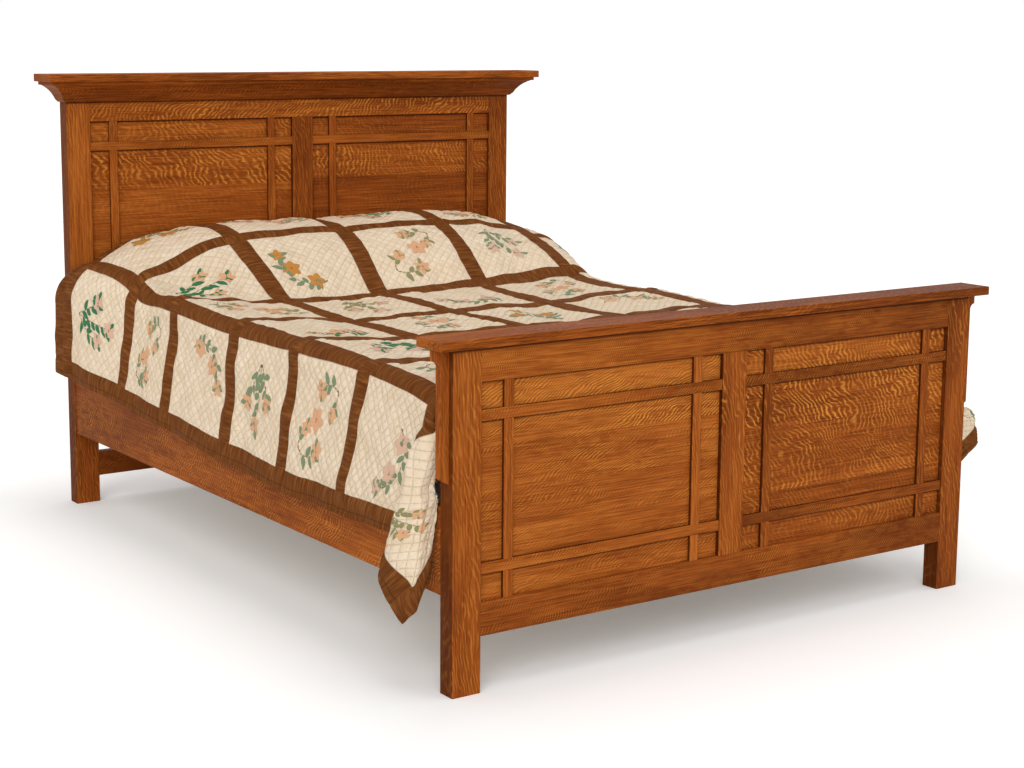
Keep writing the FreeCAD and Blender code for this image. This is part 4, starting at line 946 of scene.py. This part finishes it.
# The pillow's outlines from its base up: height as a share, and how far drawn in as a share of half its depth
PILLOW_LEVELS = ((0.0, 0.03, 0.08, 0.14, 0.2, 0.45, 0.7, 0.9, 1.0),
                 (0.10, 0.03, 0.0, 0.03, 0.075, 0.215, 0.37, 0.53, 0.66))
LEVEL_RINGS, SIDE_RINGS = 8, 33   # outlines that close the base and the crown, and outlines of the sides
ROUND = 120                       # points round an outline
SQUARE, BOW = 0.42, 0.02          # power of sine and cosine that squares an outline, how far its sides bow in
LEAN = 0.6                        # share of its draw by which an outline moves towards the head


def pillow(side):
    """A pillow squeezed under the quilt: a flat base, a pinched seam, a crown that leans on the headboard.

    Level outlines are rounded rectangles whose sides bow in between the corners; each is drawn in and moved
    towards the head by a share of its draw. The last outlines shrink to the middle of the base and the crown.
    """
    low, high = soft_box("pillow_" + side, (0.004, 0.004, 0.003), (0.004, 0.010, 0.006))
    centre, half = (low + high) / 2, (high - low) / 2
    rise = np.concatenate([np.zeros(LEVEL_RINGS), np.linspace(0, 1, SIDE_RINGS), np.ones(LEVEL_RINGS)])
    draw = half[1] * smooth_through(*PILLOW_LEVELS, rise)
    close = np.concatenate([np.linspace(0, 0.92, LEVEL_RINGS), np.ones(SIDE_RINGS),
                            np.linspace(0.94, 0, LEVEL_RINGS)])
    turn = np.linspace(0, 2 * math.pi, ROUND, endpoint=False)[None, :]
    cos, sin = np.cos(turn), np.sin(turn)
    wide, deep = np.sign(cos) * np.abs(cos) ** SQUARE, np.sign(sin) * np.abs(sin) ** SQUARE
    bow = BOW * np.cos(2 * turn) ** 2
    x = centre[0] + close[:, None] * (half[0] - draw)[:, None] * wide * (1 - bow)
    y = centre[1] + close[:, None] * (half[1] - draw)[:, None] * deep * (1 - bow) + LEAN * draw[:, None]
    crease = 0.0015 * ripples(40 + len(side), x, y, 0.3, 0.7) * rise[:, None]
    z = low[2] + (high[2] - low[2]) * rise[:, None] + crease + 0 * x
    finish = bpy.data.materials.get("pillow_cotton") or plain_cotton("pillow_cotton")
    faces = quads(len(rise), ROUND, False, True)[:, ::-1]
    made = piece(f"pillow_pad_{side}", np.stack([x, y, z], 2), faces, finish, "bedding",
                 closed=True)
    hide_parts("pillow_" + side)


pillow("left")
pillow("right")


# Oak, hidden wood and hardware

def finish_nodes(finish, *names):
    """One finish on each of the named nodes."""
    for name in names:
        held = nodes[name].data.materials
        held.clear()
        held.append(finish)


def oak_on(name, *wood, **more):
    """Oak of its own on a node."""
    finish_nodes(oak(f"oak_{name}", *wood, **more), name)


# Heights at which the panels' boards meet, each with the tone and the ray figure that the board above adds
PANEL_BOARDS = {
    "footboard_left": ((0.365, 0.02, 0.1), (0.455, -0.02, 0.1), (0.560, 0.08, 0.35)),
    "footboard_right": ((0.345, -0.02, 0.25), (0.505, 0.04, 0.25), (0.600, 0.02, 0.0)),
    "headboard_left": ((0.880, -0.01, 0.0), (0.975, 0.03, 0.6), (1.085, 0.0, -0.1)),
    "headboard_right": ((0.880, -0.01, 0.0), (0.985, 0.03, 0.6), (1.085, -0.01, -0.55)),
}
# Slant, distance and winding of the panels' ray lines
PANEL_RAYS = {"footboard_left": (-0.55, 0.0075, 5.0), "footboard_right": (1.6, 0.026, 5.0),
              "headboard_left": (1.3, 0.030, 4.0), "headboard_right": (2.0, 0.034, 5.0)}
# At each end, how bright the ray lines of panels, top rail and stile are, and the distance of the top rail's
END_RAYS = {"headboard": (0.12, 0.7, 0.2, 0.03), "footboard": (0.4, 0.4, 0.6, 0.012)}
# At each end, the piece under which a painted shadow line lies on posts and top rail, and how far below its
# lower edge
LIDS = {"headboard": ("headboard_crown_front", (0.0,)), "footboard": ("footboard_cap", (0.0, 0.004))}
NARROW_SIDE_SHADE, POST_SIDE_SHADE = 0.85, 0.62   # how much darker painted shade makes the sides of strips and stiles, and of posts
RIGHTWARD = (-0.72, 0.76)   # places across the bed between which rails change towards the right
LEG_SHADE_SPAN = (0.44, 0.30)          # heights between which posts take on painted shade towards the floor


def front(node):
    """Place along the bed of a node's front face."""
    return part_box(node)[0][1]


def panel_work(end, seed, tone, levels, right_post, rightward, leg_shade):
    """Oak on the posts, rails, stile, panels and lattice strips of one end of the bed.

    levels names the level strips on a panel. tone is for the whole end, right_post what the right post adds
    to it, rightward what rails and strips gain towards the right, and the last the painted shade that the
    posts gain towards the floor. The sides of posts, strips and stile get painted shade, and posts, top rail
    and panels get painted shadow lines under the pieces above them.
    """
    panel_rays, rail_rays, stile_rays, rail_pitch = END_RAYS[end]
    run = ("x", *RIGHTWARD, rightward) if rightward else None
    lid, steps = LIDS[end]
    under_lid = [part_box(lid)[0][2] - step for step in steps]
    top_rail = f"{end}_top_rail"

    # oak whose side faces get painted shade
    def narrow(name, *wood, **more):
        oak_on(name, *wood, side_faces=(front(name), REVEAL, NARROW_SIDE_SHADE), **more)

    for k, side in enumerate(("left", "right")):
        post, panel, strip = (f"{end}_{kind}_{side}" for kind in ("post", "panel", "strip"))
        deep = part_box(post)[1][1] - front(post)
        # posts: painted shade on the side faces and towards the floor, and a painted shadow line under the
        # cap or crown
        oak_on(post, "z", seed + k, tone + (0.015, right_post)[k], figure=0.35, slope=0.2, pitch=0.010,
               swirl=3.0, side_faces=(front(post), deep, POST_SIDE_SHADE),
               corners=(front(post) + SKIN, *under_lid), fade=("z", *LEG_SHADE_SPAN, leg_shade) if leg_shade else None)
        # panels: painted shadow lines under the top rail and the level strips
        lower_edges = (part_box(over)[0][2] for over in (top_rail, *(f"{strip}_{level}" for level in levels)))
        oak_on(panel, "x", seed + 2 + k, tone + (0.012, -0.05)[k], panel_rays, *PANEL_RAYS[f"{end}_{side}"],
               PANEL_BOARDS[f"{end}_{side}"], corners=(front(panel) + SKIN, *lower_edges))
        for m, upright in enumerate(("inner", "outer")):
            narrow(f"{strip}_{upright}", "z", seed + 4 + 2 * k + m, tone + 0.7 * k * rightward,
                   figure=0.25, slope=0.2, pitch=0.010, swirl=3.0)
        for m, level in enumerate(levels):
            narrow(f"{strip}_{level}", "x", seed + 8 + 2 * k + m, tone - 0.01 + 0.9 * k * rightward,
                   figure=0.35, slope=-1.4, pitch=0.012, swirl=4.0)
    narrow(f"{end}_centre_stile", "z", seed + 12, tone - 0.065, stile_rays, slope=0.3, pitch=0.012, swirl=5.0)
    # top rail: a painted shadow line under the cap or crown
    oak_on(top_rail, "x", seed + 13, tone - 0.015 - 0.1 * rightward, rail_rays, slope=-1.9, pitch=rail_pitch,
           swirl=5.0, corners=(front(top_rail) + SKIN, *under_lid), fade=run)
    oak_on(f"{end}_bottom_rail", "x", seed + 14, tone - 0.05, figure=0.35, slope=-1.2, pitch=0.010, swirl=5.0,
           fade=run)
    oak_on(f"{end}_cap", "x", seed + 15, tone - 0.03, figure=0.2, slope=-0.3, pores=0.7, fade=run)


# the headboard posts darken towards the floor with painted shade
panel_work("headboard", 20, tone=0.0, levels=("upper",), right_post=-0.05, rightward=0.0, leg_shade=-0.12)
panel_work("footboard", 60, tone=0.015, levels=("upper", "lower"), right_post=-0.115, rightward=-0.15,
           leg_shade=0.0)
for k, side in enumerate(("left", "right")):
    oak_on(f"footboard_corbel_{side}", "z", 90 + k, tone=-0.02, figure=0.2, slope=0.2, pitch=0.010, swirl=3.0)
    # side rails: painted shade, darker towards the head
    oak_on(f"side_rail_{side}", "y", 92 + k, tone=0.02, figure=0.5, slope=1.2, pitch=0.014, swirl=5.0,
           fade=("y", -0.7, 0.5, -0.11))
    oak_on(f"headboard_crown_{side}", "y", 94 + k, tone=-0.10, figure=0.2, pores=0.45)
oak_on("headboard_crown_front", "x", 96, tone=-0.09, figure=0.25, pores=0.45)
# the stretcher's dark tone is painted shade under the bed
oak_on("headboard_stretcher", "x", 97, tone=-0.30, figure=0.3)
for k, name in enumerate(n for n in sorted(nodes) if n.startswith(("slat_", "ledger_", "centre_leg"))):
    if not name.endswith("screws"):
        grain = "x" if name.startswith("slat") else "y" if name.startswith("ledger") else "z"
        finish_nodes(plain_wood(f"hardwood_{name}", grain, 110 + k), name)
finish_nodes(zinc("zinc_plate", 0.38), "rail_hook_plates", "post_slotted_plates")
finish_nodes(zinc("zinc_screw", 0.32), "ledger_screws", "slat_screws")
finish_nodes(moulded_plastic("levelling_plastic"), "levelling_foot_front", "levelling_foot_rear")


# Floor, light and camera

HALF_BED = (0.85, 1.10)   # half sizes of the floor under the bed, which keeps its shade
GLOW = (0.12, 0.26)       # the floor's own light at the bed and away from it
GLOW_REACH = 0.4          # distance from the bed at which the floor has all its light
HALF_FLOOR = 60.0         # half the floor's size
SURROUND = 0.5            # strength of the light from all sides


def background_rays(f):
    """1 for rays that are to see plain white: from the camera, mirrored or refracted. Else 0."""
    seen = 0.0
    for kind in ("Camera", "Glossy", "Transmission"):
        seen = f.math("MAXIMUM", seen, f.add("LightPath", output=f"Is {kind} Ray"))
    return seen


def floor():
    """A plain pale floor that keeps the bed's shadow and reaches white away from it."""
    f = Finish("pale_floor", Roughness=0.9, Specular_IOR_Level=0.0)
    f.give("Base Color", (0.99, 0.985, 0.97, 1))
    f.give("Emission Color", (1, 1, 1, 1))
    away = (f.minus(f.math("ABSOLUTE", place), half) for place, half in zip(f.axes(f.point()), HALF_BED))
    glow = f.add("MapRange", {0: f.math("MAXIMUM", *away), 1: 0.0, 2: GLOW_REACH, 3: GLOW[0], 4: GLOW[1]})
    f.give("Emission Strength", f.times(background_rays(f), glow))
    corners = [(x * HALF_FLOOR, y * HALF_FLOOR, 0) for x, y in ((-1, -1), (1, -1), (1, 1), (-1, 1))]
    mesh = bpy.data.meshes.new("floor")
    mesh.from_pydata(corners, [], [(0, 1, 2, 3)])
    mesh.materials.append(f.material)
    put("floor", mesh)


def sky():
    """An even pale surround for the light; the camera and reflections see plain white."""
    world = bpy.data.worlds.new("studio")
    f = Nodes(world, "Background")
    f.give("Color", (1, 1, 1, 1))
    f.give("Strength", f.add("MapRange", {0: background_rays(f), 3: SURROUND, 4: 1.0}))
    bpy.context.scene.world = world


def lamp(name, toward, strength, spread):
    """A wide distant lamp that shines along a direction."""
    light = bpy.data.lights.new(name, "SUN")
    light.energy, light.angle = strength, math.radians(spread)
    put(name, light).rotation_euler = Vector(toward).to_track_quat("-Z", "Y").to_euler()


def camera():
    """The photograph's place, direction, focal length and framing."""
    lens, wide, high = 1915.26, 1024, 768   # focal length and picture, in picture points
    axis_x, axis_y = 485.71, 344.71         # where the view's axis meets the picture
    data = bpy.data.cameras.new("camera")
    data.sensor_width = 36
    data.lens = lens * data.sensor_width / wide
    data.shift_x, data.shift_y = (wide / 2 - axis_x) / wide, (axis_y - high / 2) / wide
    made = put("camera", data)
    yaw, pitch, roll = (math.radians(a) for a in (34.466, -9.320, 0.353))
    made.matrix_world = (Matrix.Translation((-3.05848, -4.46918, 1.46654)) @ Matrix.Rotation(-yaw, 4, "Z")
                         @ Matrix.Rotation(math.pi / 2 + pitch, 4, "X") @ Matrix.Rotation(roll, 4, "Z"))
    bpy.context.scene.camera = made


floor()
sky()
lamp("key", (0.64, 0.74, -0.54), strength=1.42, spread=40)
lamp("top", (-0.1, 0.12, -1.0), strength=0.52, spread=35)
camera()
bpy.context.scene.view_settings.view_transform = "Standard"
